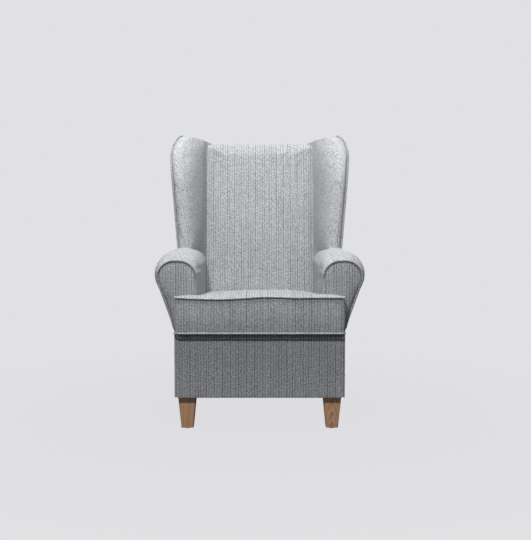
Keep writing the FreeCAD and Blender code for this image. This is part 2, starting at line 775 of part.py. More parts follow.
def wing_welt():
    """The cord along the wing's front edge, from the arm up over the peak."""
    radius = size("welt_diameter") / 2
    points = []
    for z in wing_heights()[1:]:
        plan = wing_plan(z, 0)
        level = plan["out"] + V(0, -0.6, 0)
        level.normalize()
        drift = (plan["nose"] - wing_plan(z - 1, 0)["nose"]).dot(level)
        square = V(level.x, level.y, -drift)
        square.normalize()
        offset = level * size("wing_thickness") / 2 + square * (radius + size("wing_welt_gap"))
        points.append(plan["nose"] + offset)
    path = Part.BSplineCurve()
    path.interpolate(points)
    rings = []
    for number in range(int(size("wing_welt_steps")) + 1):
        at = blend(path.FirstParameter, path.LastParameter, number / size("wing_welt_steps"))
        ring = Part.Wire([Part.makeCircle(radius)])
        ring.Placement = FreeCAD.Placement(path.value(at), FreeCAD.Rotation(V(0, 0, 1), path.tangent(at)[0]))
        rings.append(ring)
    return Part.makeLoft(rings, True, True)


def make_wings():
    cloth = size("cloth")
    board = size("wing_board")
    low = size("arm_height") - 90
    zone = block(-50, 700, 0, 1000, low, 1300).cut(arm_form(-size("gap"))).cut(behind(cloth))
    welt = wing_welt()
    core = wing_form(cloth).common(zone)
    shell = wing_form(0).common(zone).cut(core)
    outside = wing_slab(-15, 25, 12)
    pair("wing_outer_panel", shell.common(outside))
    pair("wing_cover", shell.cut(outside))
    pair("wing_welt", welt.common(zone))
    slab = wing_slab(-15, 15 + cloth + board, 24, place("half_between_rails"))
    frame = core.common(slab).cut(wing_top(cloth + board)).cut(post_form())
    pair("wing_frame", frame)
    post_zone = behind(cloth + size("post_depth"))
    pad = block(place("back_width") / 2, 700, 0, 1000, 0, 1200)
    hollow = post_zone.common(block(-600, 600, 0, 2000, 0, place("post_top")))
    pair("wing_foam", core.common(pad).cut(frame).cut(hollow).cut(back_webbing()))


# Sprung back

def back_profile(x, inset, crown):
    """The back's side-view outline at one x, drawn in by an inset at the face and the top."""
    top = size("back_height") - inset
    radius = size("back_top_radius")
    foot = size("tack_rail_level") + 8
    lean = inset / place("rake_cos")
    points = []
    for z, share in ((foot, 0.0), (blend(foot, top, 0.24), 0.0), (blend(foot, top, 0.6), 1.0),
                     (blend(foot, top, 0.85), 0.7)):
        points.append(V(x, back_face(z) + lean - crown * share, z))
    centre = V(x, back_face(top - radius) + lean + radius, top - radius)
    turn = [centre + V(0, -math.cos(math.radians(a)), math.sin(math.radians(a))) * radius for a in (0, 45, 90)]
    rear = rear_face(top) + 20
    edges = [Part.LineSegment(a, b).toShape() for a, b in zip(points, points[1:] + turn[:1])]
    edges.append(Part.Arc(*turn).toShape())
    edges.append(Part.LineSegment(turn[2], V(x, rear, top)).toShape())
    edges.append(Part.LineSegment(V(x, rear, top), V(x, rear, foot)).toShape())
    edges.append(Part.LineSegment(V(x, rear, foot), points[0]).toShape())
    return Part.Wire(edges)


def back_form(inset):
    """The inside back's solid, with a crowned face."""
    half = place("back_width") / 2
    wires = []
    for share in (-1.0, -0.6, -0.25, 0.25, 0.6, 1.0):
        wires.append(back_profile(half * share, inset, size("back_crown") * (1 - share * share)))
    return Part.makeLoft(wires, True, True)


def make_back():
    cloth = size("cloth")
    arms = arm_form(-size("gap"))
    arms = arms.fuse(mirrored(arms))
    rear = behind(cloth)
    outer = back_form(0)
    inner = back_form(cloth)
    shape_piece("back_cover", outer.cut(inner).cut(arms).cut(rear))
    below_top = block(-600, 600, 0, 2000, 0, place("post_top"))
    web_zone = behind(cloth + size("post_depth") + size("webbing_thickness"))
    foam = inner.cut(web_zone.common(below_top)).cut(arms).cut(rear)
    shape_piece("back_foam", foam)
    shape_piece("back_webbing", back_webbing())
    wings = wing_form(0)
    wings = wings.fuse(mirrored(wings))
    half = place("half_body")
    lower = block(-half, half, 0, 1000, size("leg_height"), size("arm_height"))
    middle = block(-place("back_width") / 2, place("back_width") / 2, 0, 1000, size("arm_height"),
                   size("back_height"))
    wings = wings.common(block(-half, half, 0, 1000, size("arm_height"), 1300))
    slab = rear.cut(behind(0))
    panel = slab.common(lower.fuse(middle).fuse(wings)).removeSplitter()
    shape_piece("outer_back_panel", panel)
    twins("arm_rear_panels", slab.common(arm_form(0)).cut(panel).cut(block(0, 700, 0, 1000, 0, place("rear_kink"))))


# Sprung deck

def deck_zone():
    """Plan of the deck, wide in front of the arms and narrower between them."""
    wide = place("half_frame")
    narrow = place("seat_width") / 2 + size("arm_front_inner_tuck") + 1
    front = place("rail_face")
    setback = size("arm_setback")
    back = place("spring_rail_face") - 6
    points = [(-wide, front), (wide, front), (wide, setback), (narrow, setback), (narrow, back), (-narrow, back),
              (-narrow, setback), (-wide, setback)]
    return prism_up(points, 0, 600)


def spring_shape():
    """One zigzag spring in its own plane, starting and ending with a bar across."""
    half = size("spring_width") / 2
    loops = int(size("spring_loops"))
    start = size("cloth") + size("board") * 0.6
    end = size("base_depth") - size("cloth") - size("board") * 1.6
    pitch = (end - start) / loops
    bend = pitch / 2
    side = 1
    path = []
    for i in range(loops):
        y = start + i * pitch
        a = V(-side * (half - bend), y, 0)
        b = V(side * (half - bend), y, 0)
        c = V(side * (half - bend), y + pitch, 0)
        path.append(Part.LineSegment(a, b).toShape())
        path.append(Part.Arc(b, V(side * half, y + bend, 0), c).toShape())
        side = -side
    last = V(-side * (half - bend), start + loops * pitch, 0)
    path.append(Part.LineSegment(last, V(side * (half - bend), last.y, 0)).toShape())
    spring = pipe(path, V(-(half - bend), start, 0), V(1, 0, 0), size("spring_wire") / 2)
    return spring, start, last.y


def spring_clip(x, y):
    """A clip holding a spring's end bar, with its plate on top of the rail."""
    wire = size("spring_wire") / 2
    sheet = size("clip_thickness")
    width = size("clip_width")
    depth = size("clip_length")
    clear = size("gap") / 3
    low = -wire - sheet
    plate = block(x - width / 2, x + width / 2, y - depth / 2, y + depth / 2, low, -wire - clear)
    left = V(x - width / 2, y, 0)
    sleeve = Part.makeCylinder(wire + clear + sheet, width, left, V(1, 0, 0))
    sleeve = sleeve.common(block(x - width, x + width, y - depth, y + depth, low, 50))
    bore = Part.makeCylinder(wire + clear, width, left, V(1, 0, 0))
    return plate.fuse(sleeve).cut(bore)


def to_deck(shape, level):
    """Moves a shape drawn flat onto the pitched deck, at a level square to its surface."""
    moved = shape.copy()
    moved.translate(V(0, 0, level))
    moved.rotate(V(0, 0, 0), V(1, 0, 0), -size("seat_pitch"))
    moved.translate(V(0, place("apron_face"), place("deck_level")))
    return moved


def make_deck():
    cloth = size("cloth")
    zone = deck_zone()
    arms = arm_form(0)
    arms = arms.fuse(mirrored(arms)).common(block(-600, 600, size("arm_setback"), 1000, 0, 1000))
    zone = zone.cut(arms)
    plan = [(-600, -100), (600, -100), (600, 900), (-600, 900)]
    foam_low = -cloth - size("deck_foam_thickness")
    felt_low = foam_low - size("felt")
    shape_piece("deck_cover", deck_layer(plan, -cloth, 0).common(zone).cut(back_form(0)))
    shape_piece("deck_foam", deck_layer(plan, foam_low, -cloth).common(zone).cut(back_form(0)))
    felt_zone = zone.common(block(-600, 600, place("rail_back") + 2, 1000, 0, 1000))
    shape_piece("deck_felt", deck_layer(plan, felt_low, foam_low).common(felt_zone).cut(back_form(0)))
    level = felt_low - size("spring_wire") / 2
    spring, start, end = spring_shape()
    count = int(size("spring_count"))
    reach = place("seat_width") / 2 - size("spring_margin") / 2
    springs = []
    clips = []
    for i in range(count):
        x = blend(-reach, reach, i / (count - 1))
        copy = spring.copy()
        copy.translate(V(x, 0, 0))
        springs += to_deck(copy, level).Solids
        clips += to_deck(spring_clip(x, start), level).Solids
        clips += to_deck(spring_clip(x, end), level).Solids
    shape_piece("seat_springs", Part.makeCompound(springs))
    shape_piece("spring_clips", Part.makeCompound(clips))
    box_piece("front_apron", "2 * Layout.half_body", "Sizes.cloth", "Sizes.base_height", "-Layout.half_body",
              "Layout.apron_face", "Sizes.leg_height")


def make_dust_cover():
    low = place("frame_bottom") - size("dust_cloth")
    front = place("rail_face")
    back = place("frame_back")
    half = place("half_frame")
    cover = block(-half, half, front, back, low, place("frame_bottom"))
    reach = size("leg_top_width") / 2 + 1
    for name, x, y, rake in leg_positions():
        cover = cover.cut(block(x - reach, x + reach, y - reach, y + reach + rake / 20, 0, 200))
    shape_piece("dust_cover", cover)
    staples = []
    wire = size("staple_wire")
    length = size("staple_width")
    count = int(size("staple_count"))
    for i in range(count):
        x = blend(-half + 90, half - 90, i / (count - 1))
        y = blend(front + 110, back - 130, i / (count - 1))
        for edge in (front + 12, back - 12 - wire):
            staples.append(block(x - length / 2, x + length / 2, edge, edge + wire, low - wire, low))
        for edge in (-half + 12, half - 12 - wire):
            staples.append(block(edge, edge + wire, y - length / 2, y + length / 2, low - wire, low))
    shape_piece("dust_cover_staples", Part.makeCompound(staples))


# Loose seat cushion

def cushion_plan(z, inset, ear_share=1.0):
    """The cushion's T-shaped outline at one level, with rounded corners, drawn in by an inset."""
    wide = place("cushion_front_width") / 2 - inset
    narrow = place("cushion_seat_width") / 2 - inset
    offset = -place("apron_face")
    front = offset + inset
    ear = offset + size("cushion_ear_depth") - inset * ear_share
    back = offset + size("cushion_depth") - inset
    radius = max(2.0, size("cushion_corner") - inset / 3)
    half = [(0, front), (wide, front), (wide, ear), (narrow, ear), (narrow, back), (0, back)]
    corners = half[1:5] + [(-x, y) for x, y in reversed(half[1:5])]
    edges = []
    count = len(corners)
    rounded = []
    for i in range(count):
        corner = V(corners[i][0], corners[i][1], z)
        before = V(*corners[i - 1], z) - corner
        after = V(*corners[(i + 1) % count], z) - corner
        before.normalize()
        after.normalize()
        middle = corner + (before + after) * radius * (1 - math.sqrt(0.5))
        rounded.append((corner + before * radius, middle, corner + after * radius))
    for i in range(count):
        edges.append(Part.Arc(*rounded[i]).toShape())
        edges.append(Part.LineSegment(rounded[i][2], rounded[(i + 1) % count][0]).toShape())
    return edges


def cushion_form(inset):
    """The cushion's solid, flat below, straight at the sides and crowned on top."""
    floor = size("cushion_clearance") + inset
    low = size("cushion_clearance") + size("cushion_sole")
    high = low + size("cushion_height")
    wires = [Part.Wire(cushion_plan(floor, inset + size("cushion_sole")))]
    wires.append(Part.Wire(cushion_plan(low + inset / 2, inset)))
    wires.append(Part.Wire(cushion_plan(high - inset / 2, inset)))
    for draw, rise in ((5, 0.3), (14, 0.6), (28, 0.85), (46, 1.0)):
        wires.append(Part.Wire(cushion_plan(high - inset + size("cushion_crown") * rise, inset + draw, 0.6)))
    return Part.makeLoft(wires, True, True)


def make_cushion():
    outer = cushion_form(0)
    inner = cushion_form(size("cloth"))
    shape_piece("seat_cushion_cover", to_deck(outer.cut(inner), 0))
    shape_piece("seat_cushion_foam", to_deck(inner, 0))
    radius = size("welt_diameter") / 2
    low = size("cushion_clearance") + size("cushion_sole")
    high = low + size("cushion_height")
    welts = []
    for z in (low, high):
        edges = cushion_plan(z, -radius - size("gap"))
        start = edges[1].Vertexes[0].Point
        ahead = edges[1].Vertexes[1].Point - start
        welts += to_deck(pipe(edges[1:] + edges[:1], start, ahead, radius), 0).Solids
    shape_piece("seat_cushion_welts", Part.makeCompound(welts))
    back = size("cushion_depth") - place("apron_face")
    middle = low + size("cushion_height") / 2
    half = size("zip_length") / 2
    tape = size("zip_tape_width") / 2
    coil = size("zip_coil_width") / 2
    tape_face = back + size("zip_tape_thickness")
    coil_face = tape_face + size("zip_coil_height")
    tapes = block(-half, half, back, tape_face, middle - tape, middle + tape)
    teeth = block(-half, half, tape_face, coil_face, middle - coil, middle + coil)
    shape_piece("cushion_zip", to_deck(tapes.fuse(teeth), 0))
    clear = size("slider_clearance")
    wall = clear + size("slider_wall")
    x = -half + 4
    length = size("slider_length")
    hollow = block(x - 1, x + length + 1, back, coil_face + clear, middle - coil - clear, middle + coil + clear)
    slider = block(x, x + length, tape_face + clear, coil_face + wall, middle - coil - wall, middle + coil + wall)
    pull = block(x + length - 2, x + length + 22, coil_face + clear, coil_face + wall, middle - 3, middle + 3)
    shape_piece("zip_slider", to_deck(slider.cut(hollow).fuse(pull), 0))


make_base_frame()
make_corner_blocks()
make_legs()
make_back_frame()
make_arms()
make_wings()
make_back()
make_deck()
make_dust_cover()
make_cushion()

doc.recompute()

for item in doc.Objects:
    if "Invalid" in item.State or "Error" in item.State:
        raise RuntimeError(f"{item.Name} did not recompute")

os.makedirs("parts", exist_ok=True)
for piece in PARTS:
    if piece.Shape.isNull() or not piece.Shape.isValid() or not piece.Shape.Solids:
        raise RuntimeError(f"{piece.Label} has no sound solid")
    piece.Shape.exportStep(f"parts/{piece.Label}.step")
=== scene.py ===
"""Wingback armchair in a pinstriped light grey cover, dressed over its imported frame."""
import math

import bmesh
import bpy
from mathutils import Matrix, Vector, noise


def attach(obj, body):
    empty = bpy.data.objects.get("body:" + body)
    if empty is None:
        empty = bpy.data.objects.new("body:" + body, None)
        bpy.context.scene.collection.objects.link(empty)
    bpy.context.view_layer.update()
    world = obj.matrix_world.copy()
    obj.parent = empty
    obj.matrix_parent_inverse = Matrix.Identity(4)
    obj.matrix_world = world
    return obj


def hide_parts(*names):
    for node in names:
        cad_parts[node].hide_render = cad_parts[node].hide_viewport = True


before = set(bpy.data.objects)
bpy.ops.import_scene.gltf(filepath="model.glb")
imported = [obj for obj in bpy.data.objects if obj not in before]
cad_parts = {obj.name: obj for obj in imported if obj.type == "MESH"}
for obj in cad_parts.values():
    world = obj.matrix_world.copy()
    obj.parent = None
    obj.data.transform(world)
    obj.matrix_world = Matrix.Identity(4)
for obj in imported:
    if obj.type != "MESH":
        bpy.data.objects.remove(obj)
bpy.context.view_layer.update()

SIDES = ("right", "left")

# Sizes in metres, with depths measured back from the cushion's front face

ORIGIN_DEPTH = 0.39746
HALF_BODY = 0.307
APRON_DEPTH = 0.025
BASE_BACK = 0.675
BASE_LOW = 0.121
DECK = 0.352
PITCH = math.radians(4)
RAKE = math.tan(math.radians(10))
ARM_SETBACK = 0.130
ARM_FULL = 0.225
ARM_REAR = 0.757
ARM_TOP = 0.643
ARM_JOINT = 0.503
ARM_LOW = 0.300
ARM_FLARE = 0.405
ARM_POINTS = 110
PANEL_FOOT = 0.3085
BACK_HALF = 0.229
BACK_TOP = 1.068
BACK_TOP_HALF = 0.294
WING_TOP = 1.095
WING_NOSE = 0.027
WELT = 0.0035
CUSHION_T = {"front": -0.025, "rear": 0.498, "wide": 0.304, "narrow": 0.2165, "ear": 0.079, "corner": 0.016}
DECK_T = {"front": 0.005, "rear": 0.560, "wide": 0.3035, "narrow": 0.2245, "ear": 0.101, "corner": 0.012}
LOWER_SEAM = 0.0045
UPPER_SEAM = 0.1335

# Colours of the studio and of the cover's threads

BACKDROP = (0.752, 0.752, 0.776, 1)
STRIPE_PITCH = 0.0097
THREAD_DARK = (0.070, 0.072, 0.078)
THREAD_SHADE = (0.222, 0.227, 0.238)
THREAD_MID = (0.400, 0.410, 0.427)
THREAD_PALE = (0.620, 0.633, 0.655)


def depth(distance):
    """The y of a place that many metres behind the cushion's front face."""
    return distance - ORIGIN_DEPTH


def rear_depth(z):
    """How far back the chair's rear face is at a height."""
    return max(BASE_BACK, 0.6135 + z * RAKE)


def back_depth(z):
    """How far back the inside back's face is at a height."""
    return 0.553 + (z - 0.440) * RAKE


def blend(low, high, share):
    return low + (high - low) * share


def smooth_step(value, low, high):
    """Zero below low, one above high, and smooth between."""
    share = min(1.0, max(0.0, (value - low) / (high - low)))
    return share * share * (3 - 2 * share)


# Camera, lights and floor

def make_camera():
    """A long-lens view from the front, a little above the seat and tilted down."""
    data = bpy.data.cameras.new("camera")
    data.lens = 62.7
    data.sensor_width = 36
    data.shift_x = 0.0107
    camera = bpy.data.objects.new("camera", data)
    camera.location = (0, depth(-3.324), 0.8354)
    camera.rotation_euler = (math.radians(90 - 4.30), 0, 0)
    bpy.context.collection.objects.link(camera)
    bpy.context.scene.camera = camera


def make_lamp(name, place, target, size, power):
    """A square soft lamp aimed at a point."""
    data = bpy.data.lights.new(name, "AREA")
    data.energy = power
    data.size = size
    lamp = bpy.data.objects.new(name, data)
    lamp.location = place
    aim = Vector(target) - Vector(place)
    lamp.rotation_euler = aim.to_track_quat("-Z", "Y").to_euler()
    bpy.context.collection.objects.link(lamp)


def fresh_nodes(owner, *kinds):
    """Clears an owner's node tree and returns what joins its sockets and a new node of each kind."""
    owner.use_nodes = True
    tree = owner.node_tree
    tree.nodes.clear()
    return tree.links.new, [tree.nodes.new("ShaderNode" + kind) for kind in kinds]


def make_light():
    """Five soft lamps, and a world that is dim on the chair and pale behind it."""
    make_lamp("overhead_lamp", (-0.05, depth(-0.15), 2.60), (0, depth(0.2), 0.6), 0.8, 52)
    make_lamp("front_lamp", (-0.8, depth(-3.2), 3.55), (0, depth(0.2), 0.5), 0.35, 113)
    make_lamp("rear_lamp", (1.1, depth(4.4), 1.5), (0, depth(0.4), 0.5), 1.6, 70)
    make_lamp("left_lamp", (-3.9, depth(0.9), 0.9), (0, depth(0.4), 0.4), 1.2, 30)
    make_lamp("right_lamp", (3.9, depth(0.9), 0.9), (0, depth(0.4), 0.4), 1.2, 26)
    world = bpy.data.worlds.new("studio")
    bpy.context.scene.world = world
    join, (out, mix, soft, shown, path, seen) = fresh_nodes(
        world, "OutputWorld", "MixShader", "Background", "Background", "LightPath", "Math")
    soft.inputs["Color"].default_value = (0.93, 0.96, 1.0, 1)
    soft.inputs["Strength"].default_value = 0.12
    shown.inputs["Color"].default_value = BACKDROP
    shown.inputs["Strength"].default_value = 1.0
    seen.operation = "MAXIMUM"
    join(path.outputs["Is Camera Ray"], seen.inputs[0])
    join(path.outputs["Is Glossy Ray"], seen.inputs[1])
    for source, target in ((seen, mix.inputs["Fac"]), (soft, mix.inputs[1]), (shown, mix.inputs[2]),
                           (mix, out.inputs["Surface"])):
        join(source.outputs[0], target)


def make_floor():
    """A wide floor as pale as the backdrop, with a faint shadow round the chair."""
    deselect()
    bpy.ops.mesh.primitive_plane_add(size=40, location=(0, 0, 0))
    floor = bpy.context.object
    floor.name = "floor"
    paint = bpy.data.materials.new("studio_floor")
    join, (out, glow, matte, path, place, far, reach, share, mix) = fresh_nodes(
        paint, "OutputMaterial", "Emission", "BsdfDiffuse", "LightPath", "TexCoord", "VectorMath", "MapRange",
        "Math", "MixShader")
    glow.inputs["Color"].default_value = BACKDROP
    matte.inputs["Color"].default_value = (0.10, 0.10, 0.105, 1)
    far.operation = "LENGTH"
    for key, value in (("From Min", 0.3), ("From Max", 1.5), ("To Min", 0.96), ("To Max", 1.0)):
        reach.inputs[key].default_value = value
    share.operation = "MULTIPLY"
    join(place.outputs["Object"], far.inputs[0])
    join(far.outputs["Value"], reach.inputs["Value"])
    join(path.outputs["Is Camera Ray"], share.inputs[0])
    join(reach.outputs["Result"], share.inputs[1])
    for source, target in ((share, mix.inputs["Fac"]), (matte, mix.inputs[1]), (glow, mix.inputs[2]),
                           (mix, out.inputs["Surface"])):
        join(source.outputs[0], target)
    floor.data.materials.append(paint)


# Materials

class Wiring:
    """Adds and joins the nodes of one material."""

    def __init__(self, name):
        self.material = bpy.data.materials.new(name)
        self.material.use_nodes = True
        self.tree = self.material.node_tree
        self.tree.nodes.clear()
        out = self.add("ShaderNodeOutputMaterial")
        self.shader = self.add("ShaderNodeBsdfPrincipled")
        self.feed(out.inputs["Surface"], self.shader.outputs[0])
        self.place = self.add("ShaderNodeTexCoord").outputs["Object"]

    def add(self, kind, **values):
        node = self.tree.nodes.new(kind)
        for key, value in values.items():
            if hasattr(node, key):
                setattr(node, key, value)
            else:
                node.inputs[key.replace("_", " ")].default_value = value
        return node

    def feed(self, socket, value):
        """Gives a socket another socket's value, or a plain one."""
        if isinstance(value, bpy.types.NodeSocket):
            self.tree.links.new(value, socket)
        else:
            socket.default_value = value

    def set(self, **values):
        """Sets the shader's own sockets."""
        for key, value in values.items():
            self.shader.inputs[key.replace("_", " ")].default_value = value

    def math(self, operation, first, second=0.0, clamp=False):
        node = self.add("ShaderNodeMath", operation=operation, use_clamp=clamp)
        self.feed(node.inputs[0], first)
        self.feed(node.inputs[1], second)
        return node.outputs[0]

    def plus(self, first, second):
        return self.math("ADD", first, second)

    def minus(self, first, second, clamp=False):
        return self.math("SUBTRACT", first, second, clamp)

    def times(self, first, second, clamp=False):
        return self.math("MULTIPLY", first, second, clamp)

    def dot(self, vector, axis):
        node = self.add("ShaderNodeVectorMath", operation="DOT_PRODUCT")
        self.feed(node.inputs[0], vector)
        node.inputs[1].default_value = axis
        return node.outputs["Value"]

    def scaled(self, vector, scale):
        node = self.add("ShaderNodeMapping", Scale=scale)
        self.feed(node.inputs["Vector"], vector)
        return node.outputs[0]

    def joined(self, x, y, z):
        node = self.add("ShaderNodeCombineXYZ")
        for socket, value in zip(node.inputs, (x, y, z)):
            self.feed(socket, value)
        return node.outputs[0]

    def noise(self, vector, scale, detail=2.0, roughness=0.5):
        node = self.add("ShaderNodeTexNoise", Scale=scale, Detail=detail, Roughness=roughness)
        self.feed(node.inputs["Vector"], vector)
        return node.outputs["Fac"]

    def ramp(self, value, *stops):
        node = self.add("ShaderNodeValToRGB")
        ramp = node.color_ramp
        while len(ramp.elements) < len(stops):
            ramp.elements.new(0.5)
        for element, (position, colour) in zip(ramp.elements, stops):
            element.position = position
            element.color = (*colour, 1)
        self.feed(node.inputs["Fac"], value)
        return node.outputs["Color"]

    def mixed(self, factor, first, second, blend_type="MIX"):
        node = self.add("ShaderNodeMix", data_type="RGBA", blend_type=blend_type)
        for key, value in (("Factor", factor), ("A", first), ("B", second)):
            self.feed(node.inputs[key], value)
        return node.outputs["Result"]

    def bump(self, height, strength, distance):
        node = self.add("ShaderNodeBump", Strength=strength, Distance=distance)
        self.feed(node.inputs["Height"], height)
        self.feed(self.shader.inputs["Normal"], node.outputs[0])


def cover_fabric(name, across, along, painted_light_scale=1.0, stripes=1.0):
    """Heathered weave with dark pinstripes. Across and along are the directions over and down the stripes."""
    w = Wiring(name)
    s = w.dot(w.place, across)
    t = w.dot(w.place, along)
    u = w.dot(w.place, tuple(Vector(across).cross(Vector(along))))
    wander = w.times(w.minus(w.noise(w.joined(s, t, u), 9.0, 1.0), 0.5), 0.0016)
    s = w.plus(s, wander)

    def lines(pitch, width, offset):
        turn = w.math("FRACT", w.plus(w.math("DIVIDE", s, pitch), offset))
        near = w.math("ABSOLUTE", w.minus(turn, 0.5))
        return w.minus(1.0, w.math("DIVIDE", near, width / pitch), clamp=True)

    def threads(over, down, through, detail, roughness=0.5):
        across_threads = w.times(u, through) if through else 0.0
        return w.noise(w.joined(w.times(s, over), w.times(t, down), across_threads), 1.0, detail, roughness)

    strong = lines(STRIPE_PITCH * 3, 0.0026, 0.13)
    fine = lines(STRIPE_PITCH, 0.0030, 0.39)
    hair = lines(STRIPE_PITCH / 3, 0.0011, 0.21)
    broken = w.times(w.minus(threads(260.0, 150.0, 0, 2.0, 0.6), 0.22), 2.4, clamp=True)
    uneven = w.times(w.minus(threads(70.0, 3.0, 0, 1.0), 0.22), 1.9, clamp=True)
    dark = w.plus(w.times(strong, 0.36), w.times(w.times(fine, uneven), 1.02))
    dark = w.plus(dark, w.times(hair, 0.18))
    dark = w.times(w.times(dark, broken), stripes, clamp=True)
    slub = threads(290.0, 200.0, 290.0, 1.5, 0.55)
    heather = threads(950.0, 620.0, 800.0, 2.0, 0.6)
    mottle = w.plus(w.times(slub, 0.68), w.times(heather, 0.32))
    # The scale darkens or lightens every thread colour. It paints shade or light onto copies of the one cloth
    # and is used for the cords.
    tones = [tuple(c * painted_light_scale for c in colour) for colour in (THREAD_SHADE, THREAD_MID, THREAD_PALE)]
    base = w.ramp(mottle, (0.36, tones[0]), (0.50, tones[1]), (0.63, tones[2]))
    base = w.mixed(dark, base, (*(c * painted_light_scale for c in THREAD_DARK), 1))
    shade = w.ramp(w.noise(w.place, 7.0, 2.0), (0.25, (0.92, 0.92, 0.92)), (0.75, (1.0, 1.0, 1.0)))
    w.feed(w.shader.inputs["Base Color"], w.mixed(1.0, base, shade, "MULTIPLY"))
    thread = w.add("ShaderNodeTexWave", wave_type="BANDS", bands_direction="X", Scale=1.0, Distortion=0.0)
    w.feed(thread.inputs["Vector"], w.joined(w.times(t, 190.0), 0.0, 0.0))
    height = w.plus(w.times(heather, 0.35), w.times(thread.outputs["Fac"], 0.15))
    height = w.plus(height, w.times(slub, 1.3))
    height = w.minus(height, w.times(dark, 0.30))
    w.bump(height, 0.50, 0.0030)
    w.set(Roughness=0.92, Specular_IOR_Level=0.18, Sheen_Weight=0.04, Sheen_Roughness=0.5)
    return w.material


def leg_wood(name, figured):
    """Oiled beech, straight in the grain or with arched figure."""
    w = Wiring(name)
    grain = w.noise(w.scaled(w.place, (95.0, 95.0, 3.0)), 1.0, 5.0, 0.6)
    parts = w.add("ShaderNodeSeparateXYZ")
    w.feed(parts.inputs[0], w.place)
    across = w.times(w.minus(w.math("ABSOLUTE", parts.outputs[0]), 0.262), 62.0)
    wobble = w.noise(w.scaled(w.place, (22.0, 22.0, 9.0)), 1.0, 2.0)
    if figured:
        arch = w.plus(w.times(across, across), w.times(parts.outputs[2], 21.0))
        arch = w.plus(arch, w.times(wobble, 3.2))
    else:
        arch = w.plus(w.times(across, 2.6), w.times(wobble, 0.8))
    rings = w.math("FRACT", arch)
    rings = w.times(rings, rings)
    value = w.plus(w.times(grain, 0.62), w.times(w.minus(1.0, rings), 0.38))
    colour = w.ramp(value, (0.30, (0.385, 0.208, 0.116)), (0.56, (0.690, 0.398, 0.228)),
                    (0.84, (0.800, 0.485, 0.290)))
    pores = w.noise(w.scaled(w.place, (900.0, 900.0, 45.0)), 1.0, 2.0)
    pores = w.ramp(pores, (0.30, (0.72, 0.70, 0.68)), (0.42, (1.0, 1.0, 1.0)))
    w.feed(w.shader.inputs["Base Color"], w.mixed(1.0, colour, pores, "MULTIPLY"))
    w.bump(w.plus(grain, w.times(value, 0.5)), 0.12, 0.0008)
    w.set(Roughness=0.42, Coat_Weight=0.12, Coat_Roughness=0.35)
    return w.material


def plain_finish(name, dark, pale, scale, roughness, metallic=0.0, stretch=(1, 1, 1), bump=0.15):
    """A finish with a mottled colour between two tones."""
    w = Wiring(name)
    value = w.noise(w.scaled(w.place, stretch), scale, 4.0, 0.6)
    w.feed(w.shader.inputs["Base Color"], w.ramp(value, (0.3, dark), (0.7, pale)))
    w.bump(value, bump, 0.0008)
    w.set(Roughness=roughness, Metallic=metallic)
    return w.material


# Mesh helpers

def deselect():
    if bpy.context.mode != "OBJECT":
        bpy.ops.object.mode_set(mode="OBJECT")
    bpy.ops.object.select_all(action="DESELECT")


def choose(piece):
    deselect()
    piece.select_set(True)
    bpy.context.view_layer.objects.active = piece


def edit_all(piece, *steps):
    """Runs edit mode operators, each a name with its settings, on all of a piece's mesh."""
    choose(piece)
    bpy.ops.object.mode_set(mode="EDIT")
    bpy.ops.mesh.select_all(action="SELECT")
    for name, settings in steps:
        getattr(bpy.ops.mesh, name)(**settings)
    bpy.ops.object.mode_set(mode="OBJECT")


def loft(name, rings, ends=True, closed=True):
    """A skin through rings of points: the first as a ring of edges, extruded to each of the others."""
    deselect()
    count = len(rings[0])
    bpy.ops.mesh.primitive_circle_add(vertices=count, radius=0.1, location=(0, 0, 0), fill_type="NOTHING")
    piece = bpy.context.object
    piece.name = name
    piece.data.name = name
    for vertex, point in zip(piece.data.vertices, rings[0]):
        vertex.co = point
    bpy.ops.object.mode_set(mode="EDIT")
    if not closed:
        bpy.ops.mesh.select_all(action="DESELECT")
        for edge in bmesh.from_edit_mesh(piece.data).edges:
            if {vertex.index for vertex in edge.verts} == {0, count - 1}:
                edge.select_set(True)
        bpy.ops.mesh.delete(type="EDGE_FACE")
    bpy.ops.mesh.select_all(action="SELECT")
    ring = range(count)
    for points in rings[1:]:
        bpy.ops.mesh.extrude_edges_indiv()
        mesh = bmesh.from_edit_mesh(piece.data)
        mesh.verts.index_update()
        mesh.verts.ensure_lookup_table()
        ring = [extruded(mesh.verts[index]) for index in ring]
        for index, point in zip(ring, points):
            mesh.verts[index].co = point
    bmesh.update_edit_mesh(piece.data)
    if ends and closed:
        bpy.ops.mesh.edge_face_add()
        bpy.ops.mesh.select_all(action="DESELECT")
        for edge in bmesh.from_edit_mesh(piece.data).edges:
            if edge.is_boundary:
                edge.select_set(True)
        bpy.ops.mesh.edge_face_add()
    bpy.ops.object.mode_set(mode="OBJECT")
    edit_all(piece, ("normals_make_consistent", {"inside": False}))
    return piece


def extruded(vertex):
    """The number of the selected vertex that has just been extruded from this one."""
    ends = [edge.other_vert(vertex) for edge in vertex.link_edges]
    return next(end.index for end in ends if end.select)


def modify(piece, kind, **values):
    """Adds one modifier with its settings and applies it."""
    choose(piece)
    step = piece.modifiers.new(kind.lower(), kind)
    for key, value in values.items():
        setattr(step, key, value)
    bpy.ops.object.modifier_apply(modifier=step.name)


def smooth(piece, angle):
    choose(piece)
    bpy.ops.object.shade_smooth_by_angle(angle=math.radians(angle))


def move_points(piece, rule):
    """Moves every vertex by the vector that a rule gives for its place."""
    for vertex in piece.data.vertices:
        vertex.co = vertex.co + Vector(rule(vertex.co))
    piece.data.update()


def flip_copy(piece, name):
    """A copy on the chair's other side, with its own mesh."""
    choose(piece)
    bpy.ops.object.duplicate()
    other = bpy.context.object
    other.name = name
    other.data.name = name
    for vertex in other.data.vertices:
        vertex.co.x = -vertex.co.x
    edit_all(other, ("flip_normals", {}))
    return other


def both(piece, part):
    """A right-hand piece and its copy on the left."""
    return piece, flip_copy(piece, "left_" + part)


